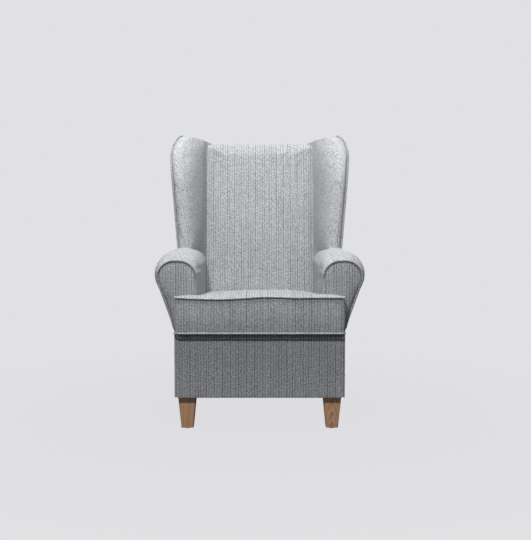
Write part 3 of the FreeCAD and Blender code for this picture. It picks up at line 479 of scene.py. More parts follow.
def stuff(piece, cell, held, pressure, limit, ease=3):
    """Fills a piece: an even mesh, then cloth swollen by pressure, held where the rule gives a weight."""
    modify(piece, "REMESH", mode="VOXEL", voxel_size=cell, adaptivity=0.0)
    modify(piece, "SMOOTH", factor=0.5, iterations=ease)
    swell(piece, held, pressure, limit)
    modify(piece, "SMOOTH", factor=0.5, iterations=max(1, ease - 1))
    modify(piece, "SUBSURF", levels=1, render_levels=1)
    choose(piece)
    bpy.ops.object.shade_smooth()


def swell(piece, held, pressure, limit, frames=16):
    """Blows a piece up as cloth, with no point moved by more than the limit."""
    before = [vertex.co.copy() for vertex in piece.data.vertices]
    group = piece.vertex_groups.new(name="held")
    for vertex in piece.data.vertices:
        weight = held(vertex.co, vertex.normal)
        if weight > 0:
            group.add([vertex.index], weight, "REPLACE")
    choose(piece)
    step = piece.modifiers.new("filling", "CLOTH")
    cloth = step.settings
    cloth.quality = 6
    cloth.mass = 0.4
    cloth.tension_stiffness = 14
    cloth.compression_stiffness = 14
    cloth.shear_stiffness = 6
    cloth.bending_stiffness = 2.5
    cloth.vertex_group_mass = group.name
    cloth.use_pressure = True
    cloth.uniform_pressure_force = pressure
    cloth.effector_weights.gravity = 0
    step.collision_settings.use_collision = False
    step.point_cache.frame_start = 1
    step.point_cache.frame_end = frames
    for number in range(1, frames + 1):
        bpy.context.scene.frame_set(number)
    bpy.ops.object.modifier_apply(modifier=step.name)
    bpy.context.scene.frame_set(1)
    for vertex, start in zip(piece.data.vertices, before):
        shift = vertex.co - start
        if shift.length > limit:
            vertex.co = start + shift * (limit / shift.length)
    piece.data.update()
    piece.vertex_groups.clear()


def tube(name, path, closed=False, sides=12):
    """A round cord as thick as the piping, through the points of a path."""
    rings = []
    total = len(path)
    up = Vector((0.02, 0.03, 1)).normalized()
    normal = None
    turns = [2 * math.pi * k / sides for k in range(sides)]
    for index, point in enumerate(path):
        before = path[index - 1] if index or closed else point
        after = path[(index + 1) % total] if index < total - 1 or closed else point
        along = (Vector(after) - Vector(before)).normalized()
        if normal is None:
            upright = abs(along.dot(up)) > 0.9
            normal = along.orthogonal().normalized() if upright else along.cross(up).normalized()
        normal = (normal - along * normal.dot(along)).normalized()
        side = along.cross(normal)
        rings.append([Vector(point) + (normal * math.cos(a) + side * math.sin(a)) * WELT for a in turns])
    if closed:
        rings.append(rings[0])
    piece = loft(name, rings, ends=not closed)
    if closed:
        edit_all(piece, ("remove_doubles", {"threshold": 0.00005}),
                 ("normals_make_consistent", {"inside": False}))
    smooth(piece, 60)
    return piece


def even(points, step):
    """The same line with its points at even distances."""
    points = [Vector(p) for p in points]
    reach = [0.0]
    for a, b in zip(points, points[1:]):
        reach.append(reach[-1] + (b - a).length)
    count = max(2, round(reach[-1] / step))
    out = []
    at = 0
    for k in range(count + 1):
        target = reach[-1] * k / count
        while at < len(points) - 2 and reach[at + 1] < target:
            at += 1
        span = reach[at + 1] - reach[at] or 1
        out.append(points[at].lerp(points[at + 1], min(1.0, (target - reach[at]) / span)))
    return out


def even_ring(points, count):
    """A closed line's points, spaced evenly and as many as asked for."""
    line = [*points, points[0]]
    length = sum((b - a).length for a, b in zip(line, line[1:]))
    return even(line, length / count)[:-1]


# Rolled arms

def arm_values(distance):
    """The arm's inner face, top, outer face, inner and outer radius and slope in degrees at a depth."""
    front = (0.232, 0.613, 0.381, 0.065, 0.064, 20.0)
    full = (0.226, ARM_TOP, 0.396, 0.050, 0.087, 25.0)
    share = min(1.0, max(0.0, (distance - ARM_SETBACK) / 0.095))
    fullness = 1 - (1 - share) ** 2
    inner, top, outer, r_in, r_out, slope = [blend(a, b, fullness) for a, b in zip(front, full)]
    taper = max(0.0, min(1.0, (distance - ARM_FULL) / (ARM_REAR - ARM_FULL)))
    return inner, top, outer - 0.040 * taper, r_in, blend(r_out, 0.0737, taper), slope


def arm_section(distance, low_inner=ARM_LOW, low_outer=BASE_LOW):
    """The right arm's outline as (x, z), up its inner face, over the roll and down its outer face."""
    inner, top, outer, r_in, r_out, slope = arm_values(distance)
    angle = math.radians(slope)
    roll_x, roll_z = outer - r_out, top - r_out
    flare_x = HALF_BODY + ARM_FLARE
    flare_z = roll_z + (math.cos(angle) * (flare_x - roll_x) - r_out - ARM_FLARE) / math.sin(angle)
    points = [(inner, low_inner), (inner, top - r_in)]
    points += [(inner + r_in - r_in * math.cos(a), top - r_in + r_in * math.sin(a))
               for a in (math.radians(90 * k / 10) for k in range(1, 11))]
    points += [(roll_x + r_out * math.sin(a), roll_z + r_out * math.cos(a))
               for a in (blend(0, math.pi / 2 + angle, k / 16) for k in range(17))]
    points += [(flare_x - ARM_FLARE * math.cos(a), flare_z + ARM_FLARE * math.sin(a))
               for a in (blend(angle, 0, k / 12) for k in range(13))]
    if flare_z > low_outer:
        points.append((HALF_BODY, low_outer))
    return points


def arm_ring(distance, inset=0.0):
    """The arm pad's closed outline at a depth: the roll above the side panel's joint, tucked in below it."""
    outline = arm_section(distance)
    upper = []
    for (x0, z0), (x1, z1) in zip(outline, outline[1:]):
        upper.append((x0, z0))
        if x0 > 0.30 and z0 >= ARM_JOINT > z1:
            share = (z0 - ARM_JOINT) / (z0 - z1)
            upper.append((x0 + (x1 - x0) * share, ARM_JOINT))
            break
    last = upper[-1]
    upper += [(last[0] - 0.006, last[1] - 0.010), (0.300, ARM_LOW + 0.06), (0.292, ARM_LOW)]
    ring = even_ring([Vector((x, depth(distance), z)) for x, z in upper], ARM_POINTS)
    centre = Vector((0.30, depth(distance), 0.52))
    return [p + (centre - p).normalized() * inset for p in ring]


def make_arm_pads():
    """The padded rolls, rounded in front and cut off along the rake behind."""
    insets = {0.1275: 0.006, 0.129: 0.0025, 0.132: 0.0006}
    stops = [*insets, 0.138, 0.148, 0.160, 0.175, 0.19, 0.205, ARM_FULL]
    stops += [ARM_FULL + 0.035 * k for k in range(1, 15)] + [ARM_REAR]
    rings = []
    for stop in stops:
        ring = arm_ring(stop, insets.get(stop, 0.0))
        rings.append([Vector((p.x, min(p.y, depth(rear_depth(p.z) - 0.0025)), p.z)) for p in ring])
    pad = loft("right_arm_pad", rings)

    def held(place, normal):
        distance = place.y + ORIGIN_DEPTH
        if distance < 0.136 or distance > rear_depth(place.z) - 0.015:
            return 1.0
        if place.z < 0.40 or (place.x > 0.33 and place.z < ARM_JOINT + 0.008):
            return 1.0
        return 0.0

    stuff(pad, 0.0065, held, pressure=2.0, limit=0.0035)
    return both(pad, "arm_pad")


# Wings

def wing_share(z):
    return (z - ARM_TOP) / (WING_TOP - ARM_TOP)


def rounding(share, start):
    """Zero up to a start, then a quarter circle up to one."""
    run = min(1.0, max(0.0, (share - start) / (1 - start)))
    return 1 - math.sqrt(1 - run * run)


def wing_plan(z):
    """The right wing's nose, rear corner and joint with the back at a height."""
    share = wing_share(z)
    reach = blend(0.350, 0.428, share) + 0.155 * rounding(share, 0.55)
    half = blend(0.320, 0.353, min(1.0, max(0.0, share) / 0.8)) - 0.040 * rounding(share, 0.8)
    rear_half = blend(HALF_BODY, BACK_TOP_HALF, share)
    nose = Vector((half - WING_NOSE, depth(reach + WING_NOSE), z))
    joint = Vector((BACK_HALF, depth(back_depth(z)), z))
    rear = Vector((min(rear_half, half), depth(rear_depth(z)), z))
    angles = []
    for point, turn in ((rear, -1), (joint, 1)):
        span = point - nose
        angles.append(math.atan2(span.y, span.x) + turn * math.acos(min(1.0, WING_NOSE / span.length)))
    return nose, rear, joint, angles


def wing_ring(z):
    """Points round the right wing at a height, with as many in each part at every height."""
    nose, rear, joint, (out, into) = wing_plan(z)
    if into > out:
        into -= 2 * math.pi
    arc = [nose + Vector((math.cos(a), math.sin(a), 0)) * WING_NOSE
           for a in (blend(out, into, k / 16) for k in range(17))]
    inner_end = joint + Vector((-0.004, 0.004, 0))
    ring = [rear.lerp(arc[0], k / 16) for k in range(16)] + arc
    along = (inner_end - arc[-1]).normalized()
    inward = Vector((along.y, -along.x, 0))
    inward = inward if inward.x < 0 else -inward
    fullness = 0.011 * smooth_step(z, 0.60, 0.70) * (1 - smooth_step(z, 1.02, 1.09))
    for k in range(1, 17):
        share = k / 16
        puff = fullness * math.sin(math.pi * share ** 0.75)
        ring.append(arc[-1].lerp(inner_end, share) + inward * puff)
    corner = Vector((0.200, rear.y - 0.060, z))
    tail = Vector((0.215, rear.y - 0.004, z))
    ring += [inner_end.lerp(corner, k / 4) for k in range(1, 5)] + [tail]
    ring += [tail.lerp(rear, k / 6) for k in range(1, 6)]
    return ring


def wing_ceiling(y, inset=0.0):
    """The height of the wing's top over a place, level and then falling to the back's top."""
    distance = y + ORIGIN_DEPTH
    fall = max(0.0, (distance - 0.576) / (0.8018 - 0.576))
    return WING_TOP - (WING_TOP - BACK_TOP) * fall - inset


def make_wing_pads():
    """The padded wings, from inside the arms up to their rounded peaks."""
    shares = [-0.20, -0.10, 0.0, 0.1, 0.2, 0.3, 0.4, 0.5, 0.55, 0.6, 0.65, 0.69, 0.73, 0.77, 0.80,
              0.83, 0.86, 0.89, 0.92, 0.945, 0.965, 0.98, 0.99, 0.997]
    rings = []
    for share in shares:
        z = blend(ARM_TOP, WING_TOP, share)
        rings.append([Vector((p.x, p.y, min(p.z, wing_ceiling(p.y)))) for p in wing_ring(z)])
    pad = loft("right_wing_pad", rings)

    def held(place, normal):
        distance = place.y + ORIGIN_DEPTH
        if place.z < 0.63 or distance > rear_depth(place.z) - 0.012:
            return 1.0
        if normal.x > 0.5 and distance > 0.40:
            return 0.9
        if place.x < 0.236 and distance > back_depth(place.z) - 0.03:
            return 1.0
        return 0.0

    stuff(pad, 0.0053, held, pressure=2.0, limit=0.0035)
    return both(pad, "wing_pad")


def wing_welt_path():
    """The cord's middle along the right wing's outer front edge and over its peak."""
    points = []
    for k in range(34):
        share = 0.005 + 0.99 * (k / 33) ** 0.9
        z = blend(ARM_TOP, WING_TOP, share)
        nose, rear, joint, (out, into) = wing_plan(z)
        away = Vector((math.cos(out), math.sin(out) - 0.6, 0)).normalized()
        lower, _, _, _ = wing_plan(z - 0.001)
        drift = (nose - lower).dot(away) / 0.001
        square = Vector((away.x, away.y, -drift)).normalized()
        points.append(nose + away * WING_NOSE + square * (WELT + 0.0002))
    return even(points, 0.009)


def make_wing_piping():
    """The cords along the wings' edges and back over their tops."""
    path = wing_welt_path()
    tail_y = depth(rear_depth(BACK_TOP)) - 0.006
    last = path[-1]
    for k in range(1, 16):
        share = k / 15
        y = blend(last.y, tail_y, share)
        x = blend(last.x, BACK_TOP_HALF - 0.002, share)
        path.append(Vector((x, y, min(last.z, wing_ceiling(y) + WELT * 0.4))))
    path = even(path, 0.006)
    for _ in range(6):
        path = [path[0]] + [(a + b * 2 + c) / 4 for a, b, c in zip(path, path[1:], path[2:])] + [path[-1]]
    path = even(path, 0.008)
    return both(tube("right_wing_piping", path), "wing_piping")


def make_wing_outsides():
    """The flat cloth on each wing's outer side, from the piping to the rear corner."""
    rings = []
    for share in [-0.16 + 1.15 * k / 30 for k in range(31)]:
        z = blend(ARM_TOP, WING_TOP, share)
        nose, rear, joint, (out, into) = wing_plan(z)
        normal = Vector((math.cos(out), math.sin(out), 0))
        start = nose + normal * (WING_NOSE + 0.0005)
        end = rear + normal * 0.0012
        row = []
        for k in range(25):
            point = start.lerp(end, 0.015 + 0.985 * k / 24)
            row.append(Vector((point.x, point.y, min(z, wing_ceiling(point.y, 0.001)))) + normal * 0.0008)
        rings.append(row)
    sheet = loft("right_wing_outside", rings, ends=False, closed=False)
    modify(sheet, "SOLIDIFY", thickness=0.002, offset=0.0)
    smooth(sheet, 50)
    return both(sheet, "wing_outside")


# Webbed back

def make_back_pad():
    """The inside back, fullest in the middle and drawn in along its joints with the wings."""
    rings = []
    half = BACK_HALF + 0.001
    radius = 0.030
    rear = rear_depth(BACK_TOP) - 0.003
    for number in range(49):
        x = half * math.sin(math.pi * (number / 48 - 0.5))
        side = 1 - (x / half) ** 2
        tuck = 0.022 * (1 - side) ** 8
        front = []
        for k in range(41):
            z = blend(0.310, BACK_TOP - radius, k / 40)
            share = (z - 0.298) / (BACK_TOP - 0.298)
            crown = 0.014 * side * (smooth_step(share, 0.05, 0.6) - 0.3 * smooth_step(share, 0.6, 0.9))
            front.append((back_depth(z) - crown + tuck, z))
        start, low = front[-1]
        low -= 0.004 * (1 - side) ** 3
        top = [(start + radius - radius * math.cos(a), low + radius * math.sin(a))
               for a in (math.radians(90 * k / 8) for k in range(1, 9))]
        end, high = top[-1]
        line = front + top + [(blend(end, rear - 0.004, k / 8), high - 0.0005 * k) for k in range(1, 9)]
        line += [(rear, BACK_TOP - 0.008), (rear_depth(0.7) - 0.004, 0.700)]
        line += [(rear_depth(0.4) - 0.004, 0.40), (0.665, 0.300)]
        rings.append([Vector((x, depth(d), z)) for d, z in line])
    pad = loft("back_pad", rings)

    def held(place, normal):
        distance = place.y + ORIGIN_DEPTH
        if abs(place.x) > half - 0.006 or place.z < 0.33:
            return 1.0
        if distance > rear_depth(place.z) - 0.03 or place.z > BACK_TOP - 0.004:
            return 1.0
        return 0.0

    stuff(pad, 0.0072, held, pressure=2.0, limit=0.0035)
    return pad


# Seat cushion, in a frame that lies along the pitched deck

def from_deck(x, y, z):
    """A place given along the deck, from the deck's front edge, in the chair's frame."""
    distance = APRON_DEPTH + y * math.cos(PITCH) + z * math.sin(PITCH)
    return Vector((x, depth(distance), DECK - y * math.sin(PITCH) + z * math.cos(PITCH)))


def to_deck(place):
    """A place in the chair's frame, given along the deck."""
    run = place.y + ORIGIN_DEPTH - APRON_DEPTH
    rise = place.z - DECK
    cos, sin = math.cos(PITCH), math.sin(PITCH)
    return place.x, run * cos - rise * sin, run * sin + rise * cos


def t_outline(offset, step, front, rear, wide, narrow, ear, corner):
    """The T's outline with rounded corners, moved out by an offset, as even points."""
    wide, narrow, rear, ear = wide + offset, narrow + offset, rear + offset, ear + offset
    front -= offset
    corners = [(-wide, front, 1), (wide, front, 1), (wide, ear, 1), (narrow, ear, -1), (narrow, rear, 1),
               (-narrow, rear, 1), (-narrow, ear, -1), (-wide, ear, 1)]
    points = []
    for index, (x, y, turn) in enumerate(corners):
        here = Vector((x, y, 0))
        before = Vector((*corners[index - 1][:2], 0))
        after = Vector((*corners[(index + 1) % len(corners)][:2], 0))
        into = (before - here).normalized()
        out = (after - here).normalized()
        radius = max(0.004, corner + turn * offset)
        centre = here + (into + out) * radius
        for k in range(7):
            angle = math.pi / 2 * k / 6
            points.append(centre - out * radius * math.cos(angle) - into * radius * math.sin(angle))
    points.append(points[0].copy())
    return even(points, step)[:-1]


def t_rings(levels, sizes):
    """Rings round a T at each level, given as a height and an offset, all with as many points."""
    step = 0.010
    count = len(t_outline(0.0, step, **sizes))
    return [[from_deck(p.x, p.y, z) for p in even_ring(t_outline(offset, step, **sizes), count)]
            for z, offset in levels]


def seam_wave(x, y, z):
    """How far the cushion's upper edge sags and wanders at a place along the deck."""
    front = math.exp(-max(0.0, y + 0.025) / 0.10)
    lift = smooth_step(z, 0.045, UPPER_SEAM)
    sag = -0.0085 * math.exp(-(((x + 0.165) / 0.085) ** 2)) * front
    sag -= 0.0030 * math.exp(-(((x - 0.235) / 0.050) ** 2)) * front
    sag += 0.0016 * math.sin(x * 31 + 0.6) * front
    sag += 0.0022 * math.sin(y * 17 + x * 9) * (1 - front)
    return sag * lift


def make_cushion():
    """The plump cushion, its front edge sagging a little, and the cords round its two seams."""
    levels = [(LOWER_SEAM - 0.0010, -0.004), (LOWER_SEAM, 0.0)]
    levels += [(blend(LOWER_SEAM, UPPER_SEAM, k / 12), -0.0015 + 0.0045 * math.sin(math.pi * k / 12) ** 0.7)
               for k in range(1, 12)]
    levels += [(UPPER_SEAM, 0.0), (UPPER_SEAM + 0.0030, -0.006)]
    pad = loft("seat_cushion_pad", t_rings(levels, CUSHION_T))
    modify(pad, "REMESH", mode="VOXEL", voxel_size=0.005, adaptivity=0.0)
    edge = [Vector((p.x, p.y)) for p in t_outline(0.0, 0.015, **CUSHION_T)]

    def from_edge(x, y):
        here = Vector((x, y))
        return min((here - e).length for e in edge)

    def rise(place):
        x, y, z = to_deck(place)
        lift = seam_wave(x, y, z)
        if z > UPPER_SEAM - 0.004:
            run = min(1.0, from_edge(x, y) / 0.125)
            lift += 0.0110 * (1 - (1 - run) ** 2.2)
            lift += 0.0022 * run * noise.noise(Vector((x * 9, y * 9, 0.3)))
        return 0, lift * math.sin(PITCH), lift * math.cos(PITCH)

    move_points(pad, rise)

    def held(place, normal):
        x, y, z = to_deck(place)
        z -= seam_wave(x, y, z)
        if z < LOWER_SEAM + 0.007 or y > 0.485:
            return 1.0
        if abs(z - UPPER_SEAM - 0.001) < 0.005 and from_edge(x, y) < 0.014:
            return 1.0
        return 0.0

    stuff(pad, 0.0060, held, pressure=3.2, limit=0.006, ease=1)
    cords = []
    for name, z in (("lower", LOWER_SEAM), ("upper", UPPER_SEAM)):
        seam = t_outline(0.0022, 0.008, **CUSHION_T)
        path = [from_deck(p.x, p.y, z + seam_wave(p.x, p.y, z)) for p in seam]
        cords.append(tube("cushion_%s_piping" % name, path, closed=True))
    return pad, cords


# Base and flat cloth

def cloth_rows(name, rows, thickness=0.002, edge=0.0006):
    """A sheet of cloth through rows of points, given its thickness and softened edges."""
    sheet = loft(name, rows, ends=False, closed=False)
    modify(sheet, "SOLIDIFY", thickness=thickness, offset=0.0)
    modify(sheet, "BEVEL", width=edge, segments=2, limit_method="ANGLE", angle_limit=math.radians(50))
    smooth(sheet, 50)
    return sheet


def make_apron():
    """The cloth on the base's front, with rounded lower corners and a soft turn at each side."""
    rows = []
    low, high = BASE_LOW, DECK - 0.0015
    radius = 0.012
    fold = 0.004
    heights = [(blend(low, high - fold, k / 30), 0.0) for k in range(31)]
    heights += [(high - fold + fold * math.sin(a), fold * (1 - math.cos(a)))
                for a in (math.radians(90 * k / 6) for k in range(1, 7))]
    heights.append((high, 0.009))
    for z, roll in heights:
        pull = 0.0
        if z < low + radius:
            pull = radius - math.sqrt(max(0.0, radius ** 2 - (low + radius - z) ** 2))
        half = HALF_BODY - pull
        row = []
        for j in range(81):
            share = 2 * j / 80 - 1
            x = half * share
            turn = max(0.0, abs(x) - (HALF_BODY - 0.0018)) / 0.0018
            y = 0.0006 + 0.0012 * turn ** 2
            y += 0.0004 * noise.noise(Vector((x * 14, 0.5, z * 16)))
            row.append(Vector((x, depth(APRON_DEPTH + y + roll), z)))
        rows.append(row)
    return cloth_rows("base_apron", rows, thickness=0.0022)


def side_line(distance):
    """The side panel's profile as (x, z) at a depth, from its lower edge up the flare to the joint."""
    if distance < ARM_SETBACK:
        top = DECK - 0.002 - (distance - APRON_DEPTH) * math.tan(PITCH)
        return [(HALF_BODY, blend(BASE_LOW, top, k / 24)) for k in range(25)]
    outline = list(reversed(arm_section(distance)))
    line = []
    for (x0, z0), (x1, z1) in zip(outline, outline[1:]):
        line.append((x0, z0))
        if z1 > ARM_JOINT:
            share = (ARM_JOINT - z0) / (z1 - z0)
            line.append((x0 + (x1 - x0) * share, ARM_JOINT))
            break
    points = even([Vector((x, 0, z)) for x, z in line], 0.004)
    length = sum((b - a).length for a, b in zip(points, points[1:]))
    return [(p.x, p.z) for p in even(points, length / 24)]


def make_side_cloths():
    """The cloth on each side of the base and up the arm's flare to the joint under the roll."""
    rows = []
    for distance in [blend(0.0264, 0.1295, k / 8) for k in range(9)]:
        rows.append([Vector((x - 0.0011, depth(distance), z)) for x, z in side_line(distance)])
    rows.append([Vector((p.x - 0.0008, depth(0.1335), p.z)) for p in rows[-1]])
    lower = cloth_rows("right_side_front", rows)
    rows = []
    for k in range(41):
        share = k / 40
        row = []
        for x, z in side_line(blend(0.131, 0.66, share)):
            distance = blend(0.131, rear_depth(z) - 0.002, share)
            ripple = 0.0007 * noise.noise(Vector((distance * 9, z * 12, 2.0)))
            row.append(Vector((x - 0.0008 + ripple, depth(distance), z)))
        rows.append(row)
    upper = cloth_rows("right_side_cloth", rows)
    choose(upper)
    lower.select_set(True)
    bpy.ops.object.join()
    return both(upper, "side_cloth")


def sheet_grid(name, place, across, down, thickness=0.0015, edge=0.0004):
    """A sheet through a grid of places, each a rule of two shares."""
    rows = [[Vector(place(a / across, b / down)) for a in range(across + 1)] for b in range(down + 1)]
    return cloth_rows(name, rows, thickness=thickness, edge=edge)


def make_arm_fronts():
    """The shield-shaped padded panel on each arm's front."""
    section = arm_section(ARM_SETBACK, PANEL_FOOT, PANEL_FOOT)
    outline = even_ring([Vector((x, depth(ARM_SETBACK), max(z, PANEL_FOOT))) for x, z in section], ARM_POINTS)
    centre = sum(outline, Vector()) / len(outline)
    rings = []
    steps = ((0.0015, -0.0030), (0.0015, -0.0018), (0.0082, -0.0015), (0.0092, 0.0016), (0.0125, 0.0042),
             (0.0190, 0.0060), (0.032, 0.0074), (0.050, 0.0082), (0.062, 0.0084))
    for inset, forward in steps:
        ring = []
        for p in outline:
            inward = centre - p
            ring.append(p + inward.normalized() * min(inset, inward.length * 0.7) - Vector((0, forward, 0)))
        rings.append(ring)
    panel = loft("right_arm_front", rings)
    modify(panel, "SUBSURF", levels=1, render_levels=1)
    smooth(panel, 40)
    return both(panel, "arm_front")


def make_arm_piping():
    """The cord round each arm's front panel, down to the cushion."""
    y = depth(ARM_SETBACK - WELT)
    run = [Vector((x, y, z)) for x, z in arm_section(ARM_SETBACK, 0.34, 0.34) if z >= DECK]
    middle = Vector((0.302, y, 0.50))
    path = even([p + (middle - p).normalized() * WELT for p in run], 0.007)
    return both(tube("right_arm_piping", path), "arm_piping")


def make_outer_back():
    """The cloth on the chair's back, from under the seat to the top, following the rake."""
    def place(across, down):
        z = blend(BACK_TOP - 0.0015, BASE_LOW, down)
        share = wing_share(max(z, ARM_TOP))
        half = blend(HALF_BODY, BACK_TOP_HALF, share) - 0.002
        x = blend(-half, half, across)
        slack = 0.0008 * noise.noise(Vector((x * 7, z * 6, 4.0))) - 0.0016 * (1 - (x / half) ** 2)
        edge = 0.0035 * smooth_step(abs(x), half - 0.006, half)
        return (x, depth(rear_depth(z) - 0.0012 - edge) - slack * 0.5, z)
    return sheet_grid("outside_back", place, 70, 110, thickness=0.0018)


def make_arm_rear():
    """The cloth that closes the arm's rear end beside the outside back."""
    section = arm_section(0.72, ARM_JOINT - 0.12, 0.37)
    outline = [Vector((x, depth(rear_depth(z) - 0.0012), z)) for x, z in section]
    inner = [Vector((HALF_BODY - 0.004, depth(rear_depth(p.z) - 0.0012), p.z)) for p in outline]
    rows = []
    for k in range(13):
        share = k / 12
        row = []
        for p, q in zip(outline, inner):
            edge = 0.003 * smooth_step(share, 0.85, 1.0)
            x = blend(q.x, max(p.x, q.x + 0.0005), share)
            row.append(Vector((x, p.y - edge, p.z)))
        rows.append(row)
    piece = cloth_rows("right_arm_rear", rows, thickness=0.0018)
    other = flip_copy(piece, "left_arm_rear")
    choose(piece)
    other.select_set(True)
    bpy.ops.object.join()
    piece.name = "arm_rear_cloth"
    return piece


def make_deck():
    """The padded deck under the cushion, with the springs faintly felt through it."""
    levels = ((-0.026, -0.004), (-0.020, -0.0005), (-0.010, 0.0), (-0.004, -0.0015), (-0.001, -0.006))
    pad = loft("seat_deck_pad", t_rings(levels, DECK_T))
    modify(pad, "REMESH", mode="VOXEL", voxel_size=0.008, adaptivity=0.0)
    modify(pad, "SMOOTH", factor=0.5, iterations=3)

    def sprung(place):
        x, y, z = to_deck(place)
        if z < -0.010:
            return (0, 0, 0)
        felt = 0.5 + 0.5 * math.cos(2 * math.pi * x / 0.093)
        inside = smooth_step(0.20 - abs(x), 0.0, 0.05)
        inside *= smooth_step(y, 0.05, 0.14) * smooth_step(0.54 - y, 0.0, 0.08)
        return (0, 0, -0.0018 * felt * inside)

    move_points(pad, sprung)
    choose(pad)
    bpy.ops.object.shade_smooth()
    return pad


def make_dust_cloth():
    """The black cloth under the seat, sagging a little between its staples."""
    def place(across, down):
        x = blend(-0.296, 0.296, across)
        distance = blend(0.036, 0.664, down)
        sag = 0.0025 * (1 - (2 * across - 1) ** 4) * (1 - (2 * down - 1) ** 4)
        fold = 0.0006 * noise.noise(Vector((x * 11, distance * 11, 0.0)))
        return (x, depth(distance), 0.1226 - sag * 0.35 + fold * 0.4)
    return sheet_grid("dust_cloth", place, 60, 60, thickness=0.0009)


def make_zip():
    """The tape and closed teeth of the zip on the cushion's rear boxing."""
    middle = 0.069
    rows = []
    for k in range(9):
        z = middle - 0.013 + 0.026 * k / 8
        y = CUSHION_T["rear"] + (0.0009 if 2 < k < 6 else 0.0006)
        rows.append([from_deck(blend(-0.19, 0.19, j / 90), y, z) for j in range(91)])
    tape = cloth_rows("cushion_zip_tape", rows, thickness=0.0008, edge=0.0002)
    deselect()
    bpy.ops.mesh.primitive_cube_add(size=1, location=(0, 0, 0))
    tooth = bpy.context.object
    bpy.ops.object.mode_set(mode="EDIT")
    bpy.ops.transform.resize(value=(0.0013, 0.0014, 0.0026))
    bpy.ops.mesh.bevel(offset=0.0003, segments=1, affect="EDGES")
    bpy.ops.object.mode_set(mode="OBJECT")
    teeth = []
    for side, shift in ((-1, 0), (1, 0.5)):
        for k in range(120):
            x = -0.1485 + 0.0028 * (k + shift)
            if x > 0.187:
                break
            copy = tooth.copy()
            copy.data = tooth.data.copy()
            bpy.context.collection.objects.link(copy)
            for vertex in copy.data.vertices:
                place = vertex.co
                vertex.co = from_deck(x + place.x, 0.4994 + place.y, middle + side * 0.0011 + place.z)
            teeth.append(copy)
    bpy.data.objects.remove(tooth)
    choose(teeth[0])
    for copy in teeth:
        copy.select_set(True)
    bpy.ops.object.join()
    teeth[0].name = "cushion_zip_teeth"
    return tape, teeth[0]


def make_webbing():
    """The jute straps across the back frame, slack by a little between the posts."""
    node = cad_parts["back_webbing"]
    piece = bpy.data.objects.new("back_webbing_straps", node.data.copy())
    bpy.context.collection.objects.link(piece)
    edit_all(piece, ("remove_doubles", {"threshold": 0.00002}), ("tris_convert_to_quads", {}),
             ("subdivide", {"number_cuts": 5}))
    move_points(piece, lambda p: (0, 0.0010 * math.cos(p.x * 7.4) ** 2 * (0.6 + noise.noise(p * 30)), 0))
    smooth(piece, 40)
    return piece


# The chair

make_camera()
make_light()
make_floor()

ACROSS_X = cover_fabric("front_cover_cloth", (1, 0, 0), (0, 0, 1))
SOFT_X = cover_fabric("back_cover_cloth", (1, 0, 0), (0, 0, 1), stripes=0.9)
WING_CLOTH = cover_fabric("wing_cover_cloth", (0.5, 0.866, 0), (0, 0, 1), stripes=0.45)
ACROSS_Y = cover_fabric("arm_cover_cloth", (0, 1, 0), (0, 0, 1), stripes=0.5)
SIDE_Y = cover_fabric("side_cover_cloth", (0, 1, 0), (0, 0, 1))
DECK_CLOTH = plain_finish("deck_cotton", (0.25, 0.25, 0.26), (0.44, 0.44, 0.45), 420, 0.95, bump=0.4)
DUST_CLOTH = plain_finish("dust_cloth", (0.012, 0.012, 0.012), (0.040, 0.040, 0.042), 700, 0.9, bump=0.3)
ZIP_TAPE = plain_finish("zip_tape", (0.14, 0.145, 0.15), (0.26, 0.265, 0.275), 800, 0.9, bump=0.4)
JUTE = plain_finish("jute_webbing", (0.30, 0.22, 0.12), (0.50, 0.38, 0.23), 1.0, 0.9,
                    stretch=(500, 90, 500), bump=0.4)
ZIP_METAL = plain_finish("zip_brass", (0.34, 0.29, 0.18), (0.52, 0.46, 0.31), 140, 0.36, metallic=0.9)
BIAS = ((0.577, 0.577, 0.577), (0.707, -0.707, 0.0))
# The arm and wing cords are the cover's own cloth made darker, as painted shade.
SHADED_PIPING = cover_fabric("piping_cloth", *BIAS, painted_light_scale=0.80, stripes=0.6)
# The cushion's cords are the same cloth made a little lighter, as painted light falling on them from above.
LIT_PIPING = cover_fabric("cushion_piping_cloth", *BIAS, painted_light_scale=1.05, stripes=0.3)
STRAIGHT = leg_wood("straight_grained_beech", False)
FIGURED = leg_wood("figured_beech", True)


def dress(piece, material, *nodes, body="chair", slot="cover_fabric", fill=None):
    """Gives a piece its material and its body, and hides the imported nodes that it stands for."""
    # The slot and fill are not used.
    piece.data.materials.clear()
    piece.data.materials.append(material)
    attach(piece, body)
    if nodes:
        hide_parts(*nodes)


for side, pad in zip(SIDES, make_arm_pads()):
    dress(pad, ACROSS_Y, side + "_arm_cover", side + "_arm_foam", fill=0.85)
for side, pad in zip(SIDES, make_wing_pads()):
    dress(pad, WING_CLOTH, side + "_wing_cover", side + "_wing_foam", fill=0.85)
for side, cord in zip(SIDES, make_wing_piping()):
    dress(cord, SHADED_PIPING, side + "_wing_welt")
for side, cloth in zip(SIDES, make_wing_outsides()):
    dress(cloth, SIDE_Y, side + "_wing_outer_panel")
dress(make_back_pad(), SOFT_X, "back_cover", "back_foam", fill=0.85)

cushion, cords = make_cushion()
dress(cushion, ACROSS_X, "seat_cushion_cover", "seat_cushion_foam", body="seat_cushion", fill=0.9)
dress(cords[0], LIT_PIPING, "seat_cushion_welts", body="seat_cushion")
dress(cords[1], LIT_PIPING, body="seat_cushion")

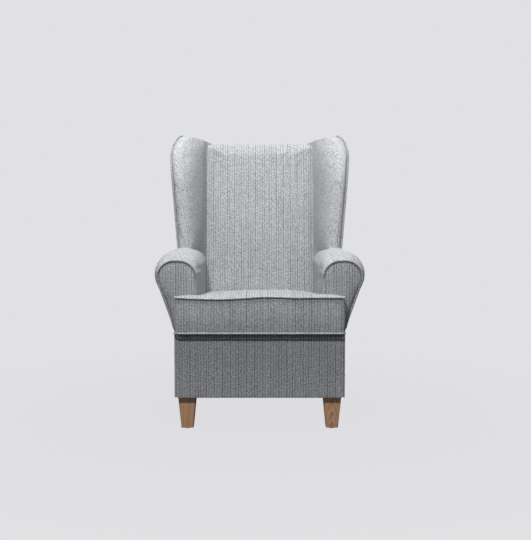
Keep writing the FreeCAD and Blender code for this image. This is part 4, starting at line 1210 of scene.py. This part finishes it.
apron = make_apron()
dress(apron, ACROSS_X, "front_apron")
for side, cloth in zip(SIDES, make_side_cloths()):
    dress(cloth, SIDE_Y, side + "_side_panel")
right_front, left_front = make_arm_fronts()
dress(right_front, ACROSS_X, "right_arm_front_panel", "arm_front_pads", fill=0.8)
dress(left_front, ACROSS_X, "left_arm_front_panel", fill=0.8)
for side, cord in zip(SIDES, make_arm_piping()):
    dress(cord, SHADED_PIPING, side + "_arm_front_welt")

outside = make_outer_back()
dress(outside, ACROSS_X, "outer_back_panel")
dress(make_arm_rear(), ACROSS_X, "arm_rear_panels")
dress(make_deck(), DECK_CLOTH, "deck_cover", "deck_foam", "deck_felt", slot="deck_cloth", fill=0.8)
dress(make_webbing(), JUTE, "back_webbing", slot="webbing")
dust = make_dust_cloth()
dress(dust, DUST_CLOTH, "dust_cover", slot="dust_cloth")
tape, teeth = make_zip()
dress(tape, ZIP_TAPE, "cushion_zip", body="seat_cushion", slot="zip_tape")
dress(teeth, ZIP_METAL, body="seat_cushion", slot="zip_metal")

FINISHES = {
    "frame_timber": plain_finish("frame_timber", (0.42, 0.29, 0.16), (0.66, 0.50, 0.31), 1.2, 0.7,
                                 stretch=(60, 60, 4)),
    "foam": plain_finish("seat_foam", (0.62, 0.56, 0.36), (0.80, 0.74, 0.52), 260, 0.95, bump=0.4),
    "felt": plain_finish("spring_felt", (0.14, 0.14, 0.15), (0.36, 0.35, 0.34), 180, 0.98, bump=0.5),
    "webbing": JUTE,
    "steel": plain_finish("plated_steel", (0.42, 0.42, 0.43), (0.62, 0.62, 0.63), 90, 0.34, metallic=0.95),
    "zip_metal": ZIP_METAL,
    "glide_plastic": plain_finish("glide_plastic", (0.03, 0.03, 0.032), (0.06, 0.06, 0.064), 120, 0.5),
    "cover_fabric": ACROSS_X,
    "deck_cloth": DECK_CLOTH,
    "dust_cloth": DUST_CLOTH,
    "zip_tape": ZIP_TAPE,
    "leg_wood": STRAIGHT,
}
for name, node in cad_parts.items():
    for place in node.material_slots:
        finish = place.material.name.split(".")[0]
        place.material = FIGURED if name.endswith("right_leg") else FINISHES[finish]

bpy.context.scene.view_settings.view_transform = "Standard"
